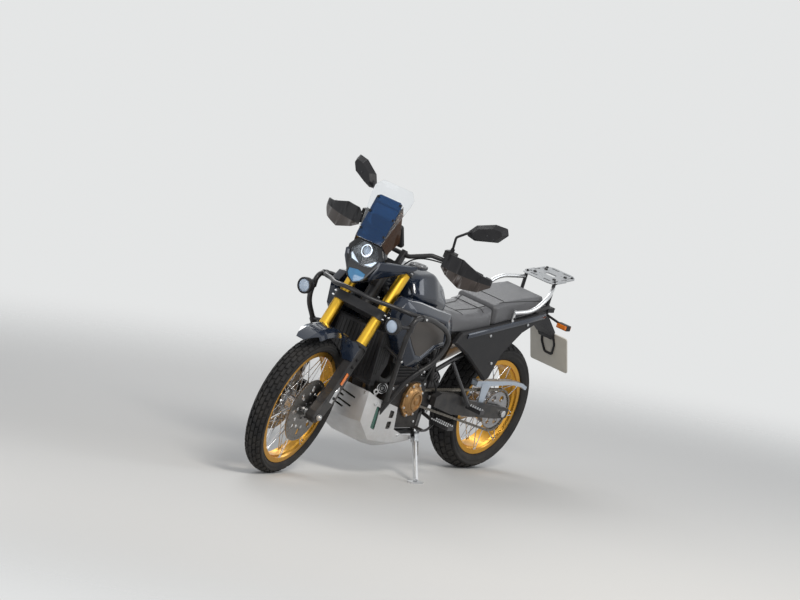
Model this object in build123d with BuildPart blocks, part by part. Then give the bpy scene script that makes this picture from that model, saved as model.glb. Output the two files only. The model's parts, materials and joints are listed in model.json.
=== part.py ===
from build123d import *
import os
from math import atan2, cos, degrees, radians, sin, sqrt

# Adventure motorcycle with a parallel twin, spoked wheels and crash bars, parked on its side stand.
# It is modelled upright in the bike's own frame: x forward from the rear axle, y to the left, z up from
# the road, in millimetres. The last section turns the steering, leans the bike and centres it.

# Wheels and chassis geometry
wheelbase = 1550
front_radius, front_half_width = 345, 47
rear_radius, rear_half_width = 333, 75
front_flange_radius, front_rim_half = 283, 34
rear_flange_radius, rear_rim_half = 246, 57
shoulder_share, crown_share = 0.86, 0.34
axle_radius, axle_hole, axle_play, spacer_gap = 10, 6, 0.3, 0.4
rake, clamp_offset, axle_lead = 27, 28, 40
leg_spread = 107
steer_at_rest, lean_at_rest = 10, 10
seat_gap = 0.3

# Fork, measured up the fork from the front axle
fork_tube_radius = 27
gold_from, gold_to = 393, 836
lower_yoke_at, lower_yoke_height = 545, 45
upper_yoke_at, upper_yoke_height = 800, 26
head_play = 5
stem_radius, head_tube_radius, head_bore = 15, 32, 15.4

# Frame tubes
spar_radius, cradle_radius, subframe_radius = 16, 14, 11
cradle_y, cradle_z = 105, 238
pivot_x, pivot_z, pivot_radius = 560, 400, 20

# Final drive
chain_y, chain_half = 92, 8
front_pitch_radius, rear_pitch_radius = 41, 106
gearbox_x, gearbox_z = 645, 400

# Crash bars
crash_radius = 12.5

os.makedirs("parts", exist_ok=True)
pieces = {}


def keep(name, shape, body="chassis"):
    pieces[name] = (shape, body)


def rod(points, radius, bend=40):
    """A round bar along straight runs joined by arcs."""
    with BuildPart() as made:
        with BuildLine() as path:
            if len(points) > 2:
                FilletPolyline(*points, radius=bend)
            else:
                Line(*points)
        route = path.wires()[0] if len(points) > 2 else path.edges()[0]
        with BuildSketch(Plane(origin=route @ 0, z_dir=route % 0)):
            Circle(radius)
        sweep(path=route)
    return made.part


def slab(outline, y_low, y_high, corner=0):
    """A plate cut to a side-view outline of (x, z) points."""
    with BuildPart() as made:
        with BuildSketch(Plane.XZ.offset(-y_high)) as face:
            Polygon(*outline, align=None)
            if corner:
                fillet(face.vertices(), corner)
        extrude(amount=y_high - y_low)
    return made.part


def both_sides(shape):
    """The shape and its mirror image across the bike's centre plane."""
    return [shape, mirror(shape, about=Plane.XZ)]


def block(low, high):
    """A box between two corners."""
    size = [b - a for a, b in zip(low, high)]
    centre = [(a + b) / 2 for a, b in zip(low, high)]
    return Pos(*centre) * Box(*size, mode=Mode.PRIVATE)


def cylinder_y(x, z, radius, y_low, y_high):
    """A round bar across the bike."""
    with BuildPart() as made:
        with BuildSketch(Plane.XZ.offset(-y_high)):
            with Locations((x, z)):
                Circle(radius)
        extrude(amount=y_high - y_low)
    return made.part


def flip(points):
    return [(x, -y, z) for x, y, z in points]


front_axle = Vector(wheelbase, 0, front_radius)
rear_axle = Vector(0, 0, rear_radius)
up_fork = Vector(-sin(radians(rake)), 0, cos(radians(rake)))
ahead = Vector(cos(radians(rake)), 0, sin(radians(rake)))
fork = Plane(origin=front_axle, x_dir=ahead, z_dir=up_fork)
stem_back = -(axle_lead + clamp_offset)
steering_axis = Axis(fork.from_local_coords(Vector(stem_back, 0, 0)), up_fork)


def on_fork(x, y, z):
    """A point given ahead of, beside and up the fork from the front axle."""
    return fork.from_local_coords(Vector(x, y, z))



# Parked pose: steering turned, bike leaned to the left and pitched so that both tyres meet the floor


def crown_radius(half_width):
    """The radius of a tyre's tread across the wheel, from its shoulder width and drop."""
    shoulder, drop = half_width * shoulder_share, half_width * crown_share
    return (shoulder**2 + drop**2) / (2 * drop)


def lowest(centre, axle_direction, radius, tread):
    """The height of the lowest point of a leaned tyre."""
    return centre.Z - (radius - tread) * sqrt(1 - axle_direction.Z**2) - tread


def leaned(vector):
    return Vector(vector).rotate(Axis.X, -lean_at_rest)


steered_axle = Vector(front_axle - steering_axis.position).rotate(Axis((0, 0, 0), up_fork), steer_at_rest)
steered_axle = steered_axle + steering_axis.position
wheel_axis = Vector(0, 1, 0)
steered_wheel_axis = wheel_axis.rotate(Axis((0, 0, 0), up_fork), steer_at_rest)
rear_low = lowest(leaned(rear_axle), leaned(wheel_axis), rear_radius, crown_radius(rear_half_width))
front_low = lowest(leaned(steered_axle), leaned(steered_wheel_axis), front_radius, crown_radius(front_half_width))
pitch_at_rest = degrees(atan2(front_low - rear_low, wheelbase))
parked = Location((0, 0, -rear_low)) * Location((0, 0, 0), (0, pitch_at_rest, 0)) * Location((0, 0, 0), (-lean_at_rest, 0, 0))
floor_up = Vector(0, 0, 1).rotate(Axis.Y, -pitch_at_rest).rotate(Axis.X, lean_at_rest)


def floor_z(x, y):
    """The floor's height in the bike's frame."""
    return (rear_low - x * floor_up.X - y * floor_up.Y) / floor_up.Z


# Wheels, made about the Y axis at the origin and then moved to their axles


def tyre(radius, half_width, flange_radius, rim_half):
    """A tyre out to its tread tips, open at the rim."""
    shoulder = half_width * shoulder_share
    crown = half_width * crown_share
    bead = flange_radius - 12
    inside = rim_half - 5.3
    with BuildPart() as made:
        with BuildSketch(Plane.XY):
            with BuildLine():
                Polyline((bead, -inside), (flange_radius + 1, -inside))
                Spline(
                    (flange_radius + 1, -inside),
                    (flange_radius + 0.45 * (radius - flange_radius), -half_width),
                    (radius - crown, -shoulder),
                )
                ThreePointArc((radius - crown, -shoulder), (radius, 0), (radius - crown, shoulder))
                Spline(
                    (radius - crown, shoulder),
                    (flange_radius + 0.45 * (radius - flange_radius), half_width),
                    (flange_radius + 1, inside),
                )
                Polyline((flange_radius + 1, inside), (bead, inside), (bead, -inside))
            make_face()
        revolve(axis=Axis.Y)
    return made.part


def rim(flange_radius, half, well):
    """A rim with a dropped well, raised edges for the spokes and rolled flanges."""
    outer = [
        (flange_radius, half), (flange_radius, half - 4), (flange_radius - 13, half - 5),
        (flange_radius - 16, half - 16), (flange_radius - 16 - well, half - 24),
        (flange_radius - 16 - well, -half + 24), (flange_radius - 16, -half + 16),
        (flange_radius - 13, -half + 5), (flange_radius, -half + 4), (flange_radius, -half),
    ]
    inner = [
        (flange_radius - 22, -half), (flange_radius - 22, -half + 13),
        (flange_radius - 22 - well, -half + 21), (flange_radius - 22 - well, half - 21),
        (flange_radius - 22, half - 13), (flange_radius - 22, half),
    ]
    with BuildPart() as made:
        with BuildSketch(Plane.XY):
            Polygon(*outer, *inner, align=None)
        revolve(axis=Axis.Y)
    return made.part


def hub(shell_radius, flange_radius, flange_y, half, rim_reach, rim_y, pairs, bore):
    """A hub barrel with two spoke flanges and crossed spokes out to the rim edges."""
    spoke_radius, cross_angle, stagger = 2.2, 38, 5
    spokes = []
    for side in (-1, 1):
        for k in range(pairs):
            start = 360 / pairs * (k + 0.25 * side)
            for lead in (-1, 1):
                inner = Vector(flange_radius - 4, side * flange_y + lead * stagger, 0)
                outer = Vector(rim_reach, side * rim_y + lead * 1.5, 0)
                root = inner.rotate(Axis.Y, start)
                tip = outer.rotate(Axis.Y, start + lead * cross_angle)
                spokes.append(rod([root, tip], spoke_radius))
    with BuildPart() as made:
        with BuildSketch(Plane.XY):
            Polygon(
                (bore, -half), (shell_radius * 0.8, -half), (shell_radius, -flange_y - 8),
                (flange_radius, -flange_y - 7), (flange_radius, -flange_y + 7),
                (shell_radius, -flange_y + 10), (shell_radius * 0.85, 0),
                (shell_radius, flange_y - 10), (flange_radius, flange_y - 7),
                (flange_radius, flange_y + 7), (shell_radius, flange_y + 8),
                (shell_radius * 0.8, half), (bore, half), align=None,
            )
        revolve(axis=Axis.Y)
        add(spokes)
    return made.part


def brake_disc(radius, bore, thickness, holes):
    """A drilled brake disc with a scalloped inner edge."""
    with BuildPart() as made:
        with BuildSketch(Plane.XZ.offset(-thickness / 2)):
            Circle(radius)
            Circle(bore, mode=Mode.SUBTRACT)
            with PolarLocations(radius - 14, holes):
                Circle(4.5, mode=Mode.SUBTRACT)
            with PolarLocations(radius - 46, 8):
                RectangleRounded(34, 22, 8, mode=Mode.SUBTRACT)
        extrude(amount=thickness)
    return made.part


bore = axle_radius + axle_play
spoke_end = 23.1
disc_y, front_disc_radius = 64, 155
hub_half = 60
at_front = Location(front_axle)
at_rear = Location(rear_axle)

keep("front_tyre", tyre(front_radius, front_half_width, front_flange_radius, front_rim_half).moved(at_front), "front_wheel")
keep("front_rim", rim(front_flange_radius, front_rim_half, 5).moved(at_front), "front_wheel")
front_hub = hub(36, 60, 38, hub_half, front_flange_radius - spoke_end, front_rim_half - 5, 9, bore)
keep("front_hub", front_hub.moved(at_front), "front_wheel")
with BuildPart() as front_discs:
    for side in (-1, 1):
        with Locations((0, side * disc_y, 0)):
            add(brake_disc(front_disc_radius, 48, 5, 24))
    with BuildSketch(Plane.XZ.offset(-disc_y - 2.5)):
        Circle(50)
        Circle(22, mode=Mode.SUBTRACT)
    extrude(amount=disc_y + 2.5 - hub_half - seat_gap)
    with BuildSketch(Plane.XZ.offset(hub_half + seat_gap)):
        Circle(50)
        Circle(22, mode=Mode.SUBTRACT)
    extrude(amount=disc_y + 2.5 - hub_half - seat_gap)
keep("front_discs", front_discs.part.moved(at_front), "front_wheel")

print("wheels")
rear_hub_half = 80
keep("rear_tyre", tyre(rear_radius, rear_half_width, rear_flange_radius, rear_rim_half).moved(at_rear), "rear_wheel")
keep("rear_rim", rim(rear_flange_radius, rear_rim_half, 9).moved(at_rear), "rear_wheel")
rear_hub = hub(52, 82, 44, rear_hub_half, rear_flange_radius - spoke_end, rear_rim_half - 5, 9, bore)
keep("rear_hub", rear_hub.moved(at_rear), "rear_wheel")
with BuildPart() as rear_disc:
    with Locations((0, -rear_hub_half - seat_gap - 2.5, 0)):
        add(brake_disc(120, 32, 5, 18))
sprocket_teeth, sprocket_tip = 42, rear_pitch_radius - chain_half - 1.5
with BuildPart() as rear_sprocket:
    with BuildSketch(Plane.XZ.offset(-chain_y - 3)):
        Circle(sprocket_tip)
        with PolarLocations(sprocket_tip + 1, sprocket_teeth):
            Circle(5, mode=Mode.SUBTRACT)
        with PolarLocations(66, 6):
            Circle(16, mode=Mode.SUBTRACT)
        Circle(30, mode=Mode.SUBTRACT)
    extrude(amount=6)
    with BuildSketch(Plane.XZ.offset(-chain_y + 3)):
        Circle(44)
        Circle(30, mode=Mode.SUBTRACT)
    extrude(amount=chain_y - 3 - rear_hub_half - seat_gap)
disc_and_sprocket = Part() + [rear_disc.part, rear_sprocket.part]
keep("rear_disc_and_sprocket", disc_and_sprocket.moved(at_rear), "rear_wheel")

# Front fork and steering
tube_fit = 0.2
leg_places = ((-axle_lead, leg_spread), (-axle_lead, -leg_spread))

with BuildPart() as fork_tubes:
    with BuildSketch(fork.offset(gold_from)):
        with Locations(*leg_places):
            Circle(fork_tube_radius)
    extrude(amount=gold_to - gold_from)
    chamfer(fork_tubes.edges().group_by(Axis(front_axle, up_fork))[-1], 3)
    with BuildSketch(fork.offset(gold_to)):
        with Locations(*leg_places):
            Circle(15)
    extrude(amount=8)
keep("fork_tubes", fork_tubes.part, "steering")

with BuildPart() as yokes:
    for height, depth in ((lower_yoke_at, lower_yoke_height), (upper_yoke_at, upper_yoke_height)):
        with BuildSketch(fork.offset(height)):
            with Locations(*leg_places):
                Circle(fork_tube_radius + 9)
            with Locations((stem_back, 0)):
                Circle(32)
            make_hull()
            with Locations(*leg_places):
                Circle(fork_tube_radius + tube_fit, mode=Mode.SUBTRACT)
        extrude(amount=depth)
    with BuildSketch(fork.offset(lower_yoke_at)):
        with Locations((stem_back, 0)):
            Circle(stem_radius)
    extrude(amount=upper_yoke_at - lower_yoke_at + upper_yoke_height + 12)
keep("yokes", yokes.part, "steering")

lug_bottom = -30
leg_outline = [
    (-72, gold_from - 60), (-60, gold_from), (-14, gold_from), (-6, gold_from - 60), (-4, 150),
    (16, 60), (30, 15), (28, -18), (8, lug_bottom), (-26, lug_bottom), (-66, 30), (-88, 120),
]
guard_in, guard_out = 82, 134
with BuildPart() as fork_lowers:
    for side in (-1, 1):
        high = guard_out if side > 0 else -guard_in
        near_side = Plane(origin=on_fork(0, high, 0), x_dir=ahead, z_dir=(0, -1, 0))
        with BuildSketch(near_side) as leg_face:
            Polygon(*leg_outline, align=None)
            fillet(leg_face.vertices(), 9)
        extrude(amount=guard_out - guard_in)
    long_edges = fork_lowers.edges().filter_by(
        lambda e: abs(e.tangent_at(0.5).dot(Vector(0, 1, 0))) < 0.1 and e.length > 40
    )
    chamfer(long_edges, 7)
    with Locations(at_front):
        Cylinder(axle_radius + tube_fit, 400, rotation=(90, 0, 0), mode=Mode.SUBTRACT)
keep("fork_lowers", fork_lowers.part, "steering")

with BuildPart() as front_axle_bar:
    with Locations(at_front):
        Cylinder(axle_radius, 2 * (guard_out + 8), rotation=(90, 0, 0))
        for side in (-1, 1):
            with Locations((0, side * (guard_out + 8), 0)):
                Cylinder(15, 10, rotation=(90, 0, 0))
            with Locations((0, side * (hub_half + guard_in) / 2, 0)):
                Cylinder(17, guard_in - hub_half - 2 * spacer_gap, rotation=(90, 0, 0))
    with Locations(at_front):
        Cylinder(axle_hole, 400, rotation=(90, 0, 0), mode=Mode.SUBTRACT)
keep("front_axle", front_axle_bar.part, "steering")

caliper_slot = 7.5
caliper_in = disc_y - 16
with BuildPart() as front_calipers:
    for side in (-1, 1):
        y_mid = side * (caliper_in + guard_in - 1) / 2
        with Locations(Plane(origin=on_fork(-118, y_mid, 96), x_dir=ahead, z_dir=up_fork)):
            Box(56, guard_in - 1 - caliper_in, 104)
    chamfer(front_calipers.edges().filter_by(Axis.Y), 12)
    for side in (-1, 1):
        with Locations(Plane(origin=on_fork(0, side * disc_y, 0), x_dir=ahead, z_dir=(0, 1, 0))):
            Cylinder(front_disc_radius + 6, 2 * caliper_slot, mode=Mode.SUBTRACT)
    for side in (-1, 1):
        with Locations(Plane(origin=on_fork(-94, side * (guard_in + 6), 100), x_dir=ahead, z_dir=up_fork)):
            Box(28, 16, 40)
    add(fork_lowers.part, mode=Mode.SUBTRACT)
keep("front_calipers", front_calipers.part, "steering")
print("fork")

# Front mudguard: an arched strip about a centre near the axle, with a beak and two side plates
guard_centre_x, guard_centre_z, guard_radius, guard_half, guard_wall = 1560, 322, 428, 62, 4
arch = [
    (guard_radius - 34, guard_half), (guard_radius - 10, guard_half - 6), (guard_radius, 32),
    (guard_radius, -32), (guard_radius - 10, -guard_half + 6), (guard_radius - 34, -guard_half),
    (guard_radius - 34, -guard_half + guard_wall), (guard_radius - 12, -guard_half + 10),
    (guard_radius - guard_wall, -30), (guard_radius - guard_wall, 30),
    (guard_radius - 12, guard_half - 10), (guard_radius - 34, guard_half - guard_wall),
]
guard_front_angle, guard_sweep = 63, 62
guard_plane = Plane(origin=(guard_centre_x, 0, guard_centre_z), x_dir=(1, 0, 0), z_dir=(0, 0, 1))
with BuildPart() as front_mudguard:
    with BuildSketch(guard_plane):
        Polygon(*arch, align=None)
    revolve(axis=Axis((guard_centre_x, 0, guard_centre_z), (0, -1, 0)), revolution_arc=guard_front_angle + guard_sweep)
    cut_to = radians(guard_front_angle)
    far = 700
    front_waste = [
        (guard_centre_x, guard_centre_z), (guard_centre_x + far, guard_centre_z - 10),
        (guard_centre_x + far * cos(cut_to), guard_centre_z + far * sin(cut_to)),
    ]
    add(slab(front_waste, -200, 200), mode=Mode.SUBTRACT)
    beak_x = guard_centre_x + guard_radius * cos(cut_to)
    for side in (-1, 1):
        with BuildSketch(Plane.XY):
            Polygon(
                (beak_x + 20, side * 14), (beak_x - 110, side * (guard_half + 2)),
                (beak_x + 20, side * (guard_half + 2)), align=None,
            )
        extrude(amount=1200, mode=Mode.SUBTRACT)
    for side in (-1, 1):
        low = 58 if side > 0 else -62
        add(slab([(1395, 715), (1460, 735), (1415, 640), (1365, 600), (1335, 640)], low, low + 4))
        face = Plane(origin=on_fork(-5.6, side * 82, 300), x_dir=(0, 1, 0), z_dir=ahead)
        reach = [(0, 0), (side * 48, 6), (side * 48, 78), (side * 24, 94), (side * -24, 94), (side * -24, 30)]
        with BuildSketch(face):
            Polygon(*reach, align=None)
        extrude(amount=6)
    add(fork_lowers.part, mode=Mode.SUBTRACT)
keep("front_mudguard", front_mudguard.part, "steering")
print("mudguard")

# Handlebar and what it carries
bar_radius, grip_radius = 11, 17
bar_rise = on_fork(-45, 0, 884)
grip_in, grip_out = Vector(1018, 262, 1158), Vector(980, 420, 1150)
bar_half = [bar_rise, Vector(bar_rise.X, 70, bar_rise.Z), Vector(1062, 158, 1156), grip_in, grip_out]
bar_points = [Vector(p.X, -p.Y, p.Z) for p in reversed(bar_half[1:])] + bar_half[1:]
riser_y = 42
with BuildPart() as handlebar:
    add(rod(bar_points, bar_radius, 38))
    for side in (-1, 1):
        with BuildSketch(fork.offset(upper_yoke_at + upper_yoke_height + seat_gap)):
            with Locations((-45, side * riser_y)):
                RectangleRounded(36, 26, 6)
        extrude(amount=884 - upper_yoke_at - upper_yoke_height + 16)
keep("handlebar", handlebar.part, "steering")

grip_axis = (grip_out - grip_in).normalized()
grip_plane = Plane(origin=grip_in + grip_axis * 28, x_dir=(0, 0, 1), z_dir=grip_axis)
lever_line = [grip_in + Vector(46, -14, -8), grip_in + Vector(60, 40, -14), grip_out + Vector(52, -10, -22)]


def hand_control(cup_size):
    """A grip, a switch housing, a lever on its perch and a fluid cup, all clamped on the bar."""
    with BuildPart() as made:
        with BuildSketch(grip_plane):
            Circle(grip_radius)
        extrude(amount=118)
        with BuildSketch(grip_plane.offset(-40)):
            RectangleRounded(48, 42, 8)
        extrude(amount=38)
        with BuildSketch(grip_plane.offset(-66)):
            with Locations((6, 8)):
                RectangleRounded(34, 46, 6)
        extrude(amount=22)
        add(rod([lever_line[0] - Vector(56, 2, -10), lever_line[0] + Vector(2, 0, 0)], 9))
        add(rod(lever_line, 6, 18))
        with Locations(Pos(*(grip_in + Vector(18, -26, 34)))):
            Box(*cup_size)
        add(rod([grip_in - grip_axis * 80, grip_out + grip_axis * 30], bar_radius + tube_fit), mode=Mode.SUBTRACT)
    return made.part


with BuildPart() as hand_controls:
    add(both_sides(hand_control((46, 52, 34))))
    add(handlebar.part, mode=Mode.SUBTRACT)
keep("hand_controls", hand_controls.part, "steering")

# Hand guards: a curved wall trimmed to its front outline, with an arm to the bar end
guard_z0, guard_z1 = 1070, 1230
with BuildPart() as guard_left:
    with BuildSketch(Plane.XY.offset(guard_z0)):
        with BuildLine():
            ThreePointArc((1098, 236), (1084, 350), (1020, 458))
            Line((1020, 458), (1004, 470))
            Line((1004, 470), (999, 465))
            Line((999, 465), (1015, 452))
            ThreePointArc((1015, 452), (1078, 348), (1092, 236))
            Line((1092, 236), (1098, 236))
        make_face()
    extrude(amount=guard_z1 - guard_z0)
    with BuildSketch(Plane.YZ.offset(900)) as front_view:
        Polygon(
            (232, 1188), (262, 1214), (330, 1214), (420, 1176), (472, 1166), (474, 1136),
            (430, 1092), (350, 1078), (270, 1112), (232, 1140), align=None,
        )
        fillet(front_view.vertices(), 8)
    extrude(amount=400, mode=Mode.INTERSECT)
    end_arm = [grip_out + grip_axis * (8 + seat_gap), Vector(1004, 462, 1150)]
    add(rod([grip_out + grip_axis * seat_gap, grip_out + grip_axis * 26], 15))
    add(rod([grip_out + grip_axis * 16, Vector(1008, 460, 1150)], 8))
    add(rod([grip_in + Vector(-4, -40, 4), Vector(1094, 250, 1160)], 8))
    add(rod(bar_points, bar_radius + seat_gap, 38), mode=Mode.SUBTRACT)
    add(hand_controls.part, mode=Mode.SUBTRACT)
guard_left_solid = guard_left.part.solids().sort_by(SortBy.VOLUME)[-1]
keep("handguards", Part() + both_sides(guard_left_solid), "steering")

# Mirrors: a bent stalk and a faceted shell
mirror_centre = Vector(985, 352, 1352)
mirror_plane = Plane(origin=mirror_centre, x_dir=Vector(-0.30, 0.93, 0.22), z_dir=Vector(0.93, 0.30, 0.0))
mirror_outline = [(-98, -26), (-60, -44), (52, -34), (96, 8), (88, 40), (30, 50), (-60, 30), (-98, -8)]
with BuildPart() as mirror_left:
    with BuildSketch(mirror_plane.offset(-9)) as mirror_face:
        Polygon(*mirror_outline, align=None)
        fillet(mirror_face.vertices(), 8)
    with BuildSketch(mirror_plane.offset(22)) as mirror_back:
        Polygon(*[(x * 0.72, y * 0.66) for x, y in mirror_outline], align=None)
        fillet(mirror_back.vertices(), 6)
    loft(ruled=True)
    stalk_foot = grip_in + Vector(18, -26, 51.3)
    add(rod([stalk_foot + Vector(0, 0, 8), stalk_foot + Vector(6, -4, 74), Vector(1012, 282, 1334), mirror_centre + Vector(4, -20, -4)], 6, 16))
    add(rod([stalk_foot, stalk_foot + Vector(0, 0, 16)], 10))
keep("mirrors", Part() + both_sides(mirror_left.part), "steering")
print("bars")

# Side stand: pivot on the left cradle tube, foot on the road, folded back along the bike
stand_pivot = Vector(700, 145, 244)
foot_y = 312
stand_foot = Vector(stand_pivot.X + 120, foot_y, floor_z(stand_pivot.X + 120, foot_y))
stand_down = (stand_foot - stand_pivot).normalized()
stand_folded = Vector(-1, 0.04, 0.06).normalized()
stand_axis = stand_down.cross(stand_folded).normalized()
stand_travel = stand_down.get_angle(stand_folded)
stand_plane = Plane(origin=stand_pivot, x_dir=stand_down, z_dir=stand_axis)
lug_half, cheek, pivot_bolt, eye_radius = 7, 7, 6, 17
cradle_by_stand = Vector(stand_pivot.X, cradle_y, cradle_z)
to_cradle = cradle_by_stand - stand_pivot
lug_way = (to_cradle - stand_axis * to_cradle.dot(stand_axis)).normalized()
lug_reach, lug_bend, lug_rod = 26, 9, 6.8
with BuildPart() as stand_lug_part:
    with BuildSketch(stand_plane.offset(-lug_half)):
        Circle(eye_radius)
    extrude(amount=2 * lug_half)
    add(rod([stand_pivot, stand_pivot + lug_way * lug_reach, cradle_by_stand], lug_rod, lug_bend))
    with BuildSketch(stand_plane.offset(-40)):
        Circle(pivot_bolt + axle_play)
    extrude(amount=80, mode=Mode.SUBTRACT)
stand_lug = stand_lug_part.part

# Frame: head tube, spars, cradle and pivot plates
head_from = lower_yoke_at + lower_yoke_height + head_play
head_to = upper_yoke_at - head_play
spar = [on_fork(stem_back - 14, 34, 710), Vector(1085, 62, 868), Vector(990, 118, 828), Vector(770, 118, 752),
        Vector(640, 84, 600), Vector(578, 62, 470), Vector(572, 62, 400)]
cradle = [on_fork(stem_back - 20, 26, 650), Vector(1128, 34, 752), Vector(1112, 76, 500), Vector(1072, cradle_y, 300),
          Vector(1030, cradle_y, cradle_z), Vector(650, cradle_y, cradle_z), Vector(592, 64, 330)]
cross_tubes = [((770, 752), 118), ((640, 600), 84)]


def frame_bars(extra):
    """The frame's tubes, fattened by extra for what has to clear them."""
    bars = []
    for route, radius in ((spar, spar_radius), (cradle, cradle_radius)):
        points = [tuple(p) for p in route]
        bars.append(rod(points, radius + extra, 36))
        bars.append(rod(flip(points), radius + extra, 36))
    for (x, z), half in cross_tubes:
        bars.append(cylinder_y(x, z, 11 + extra, -half, half))
    return bars


def head_tube(extra):
    """The steering head."""
    with BuildPart() as made:
        with BuildSketch(fork.offset(head_from - extra)):
            with Locations((stem_back, 0)):
                Circle(head_tube_radius + extra)
        extrude(amount=head_to - head_from + 2 * extra)
    return made.part


plate_outline = [(540, 370), (545, 440), (566, 480), (604, 480), (606, 330), (570, 312)]
with BuildPart() as frame:
    add(head_tube(0))
    add(frame_bars(0))
    for side in (-1, 1):
        low = 52 if side > 0 else -76
        add(slab(plate_outline, low, low + 24, 8))
    with BuildSketch(fork.offset(head_from - 5)):
        with Locations((stem_back, 0)):
            Circle(head_bore)
    extrude(amount=head_to - head_from + 10, mode=Mode.SUBTRACT)
    add(cylinder_y(pivot_x, pivot_z, pivot_radius + seat_gap, -200, 200), mode=Mode.SUBTRACT)
    add(stand_lug)
keep("frame", frame.part)

frame_keep_out = Part() + frame_bars(seat_gap) + head_tube(seat_gap)
print("frame")

rail = [(742, 96, 752), (620, 98, 742), (440, 102, 742), (150, 104, 800), (-200, 84, 872)]
strut = [(606, 88, 540), (420, 104, 640), (180, 104, 784)]


def subframe_bars(extra):
    """The seat rails, their struts and cross tubes."""
    bars = []
    for route in (rail, flip(rail), strut, flip(strut)):
        bars.append(rod(route, subframe_radius + extra, 60))
    for x, z, half in ((420, 746, 100), (60, 818, 98), (-170, 866, 84)):
        bars.append(cylinder_y(x, z, 9 + extra, -half, half))
    return bars


with BuildPart() as subframe:
    add(subframe_bars(0))
    add(frame_keep_out, mode=Mode.SUBTRACT)
keep("subframe", subframe.part)
subframe_keep_out = Part() + subframe_bars(seat_gap)
print("subframe")

# Swing arm: two box beams, a brace ahead of the tyre and the pivot tube
arm_in, arm_out = 108, 138
beam = [(600, 420), (596, 372), (430, 330), (60, 305), (-52, 306), (-60, 352), (40, 366), (300, 400), (420, 432), (560, 440)]
with BuildPart() as swingarm:
    for side in (-1, 1):
        low = arm_in if side > 0 else -arm_out
        add(slab(beam, low, low + arm_out - arm_in, 8))
    add(cylinder_y(pivot_x, pivot_z, pivot_radius, -arm_in - 10, arm_in + 10))
    with BuildSketch(Plane.XZ.offset(-arm_in - 4)) as brace:
        Polygon((380, 352), (380, 400), (430, 418), (450, 400), (440, 352), align=None)
        fillet(brace.vertices(), 8)
    extrude(amount=2 * arm_in + 8)
    for side in (-1, 1):
        with Locations((0, side * (arm_in + arm_out) / 2, rear_radius)):
            Cylinder(axle_radius + tube_fit, 60, rotation=(90, 0, 0), mode=Mode.SUBTRACT)
keep("swingarm", swingarm.part)
print("swingarm")

# Rear axle, brake caliper and shock absorber
with BuildPart() as rear_axle_bar:
    with Locations(at_rear):
        Cylinder(axle_radius, 2 * (arm_out + 8), rotation=(90, 0, 0))
        for side in (-1, 1):
            with Locations((0, side * (arm_out + 8), 0)):
                Cylinder(17, 12, rotation=(90, 0, 0))
            with Locations((0, side * (rear_hub_half + arm_in) / 2, 0)):
                Cylinder(17, arm_in - rear_hub_half - 2 * spacer_gap, rotation=(90, 0, 0))
keep("rear_axle", rear_axle_bar.part)

rear_disc_y = rear_hub_half + seat_gap + 2.5
with BuildPart() as rear_caliper:
    with Locations(Location((92, -(64 + arm_in - seat_gap) / 2, 412), (0, 38, 0))):
        Box(62, arm_in - seat_gap - 64, 88)
    chamfer(rear_caliper.edges().filter_by(Axis.Y), 10)
    add(block((56, -arm_in + seat_gap, 335), (128, -94, 400)))
    with Locations((0, -rear_disc_y, rear_radius)):
        Cylinder(126, 2 * caliper_slot, rotation=(90, 0, 0), mode=Mode.SUBTRACT)
keep("rear_caliper", rear_caliper.part)

shock_low, shock_high = Vector(438, 0, 438), Vector(626, 0, 592)
with BuildPart() as shock_absorber:
    add(rod([shock_low, shock_high], 12))
    along = (shock_high - shock_low).normalized()
    add(rod([shock_low + along * 34, shock_high - along * 40], 31))
    add(cylinder_y(shock_low.X, shock_low.Z, 15, -17, 17))
    add(cylinder_y(shock_high.X, shock_high.Z, 15, -17, 17))
    add(frame_keep_out, mode=Mode.SUBTRACT)
    add(swingarm.part, mode=Mode.SUBTRACT)
keep("shock_absorber", shock_absorber.part)

# Chain: one fixed loop round both sprockets, with its guard
with BuildPart() as chain:
    for reach, how in ((chain_half, Mode.ADD), (-chain_half, Mode.SUBTRACT)):
        with BuildSketch(Plane.XZ.offset(-chain_y - chain_half)):
            with Locations((gearbox_x, gearbox_z)):
                Circle(front_pitch_radius + reach)
            with Locations((0, rear_radius)):
                Circle(rear_pitch_radius + reach)
            make_hull()
        extrude(amount=2 * chain_half, mode=how)
keep("chain", chain.part)

guard_line = [(250, 462), (246, 492), (-60, 488), (-150, 476), (-196, 458), (-192, 440), (-146, 458), (-60, 470)]
with BuildPart() as chain_guard:
    add(slab(guard_line, 76, 112, 5))
    add(slab([(150, 380), (190, 380), (206, 480), (130, 480)], 108.6, 114, 4))
    add(swingarm.part, mode=Mode.SUBTRACT)
keep("chain_guard", chain_guard.part)

# Engine: crankcase, gearbox, cylinders and head, output sprocket
case_half, output_y = 138, 76
case = [(715, 268), (715, 505), (820, 505), (1000, 480), (1034, 400), (1022, 300), (965, 268)]
gearbox = [(614, 330), (614, 450), (640, 500), (720, 505), (720, 268), (668, 268)]
cylinders = [(790, 495), (985, 470), (1048, 690), (1030, 728), (880, 742), (850, 725)]
with BuildPart() as engine:
    add(slab(case, -case_half, case_half, 14))
    add(slab(gearbox, -case_half, output_y, 10))
    add(slab(cylinders, -118, 118, 10))
    add(cylinder_y(gearbox_x, gearbox_z, 16, output_y - 2, chain_y + chain_half))
    add(cylinder_y(gearbox_x, gearbox_z, front_pitch_radius - chain_half - 1, chain_y - 4, chain_y + 4))
    add(frame_keep_out, mode=Mode.SUBTRACT)
keep("engine", engine.part)

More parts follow.
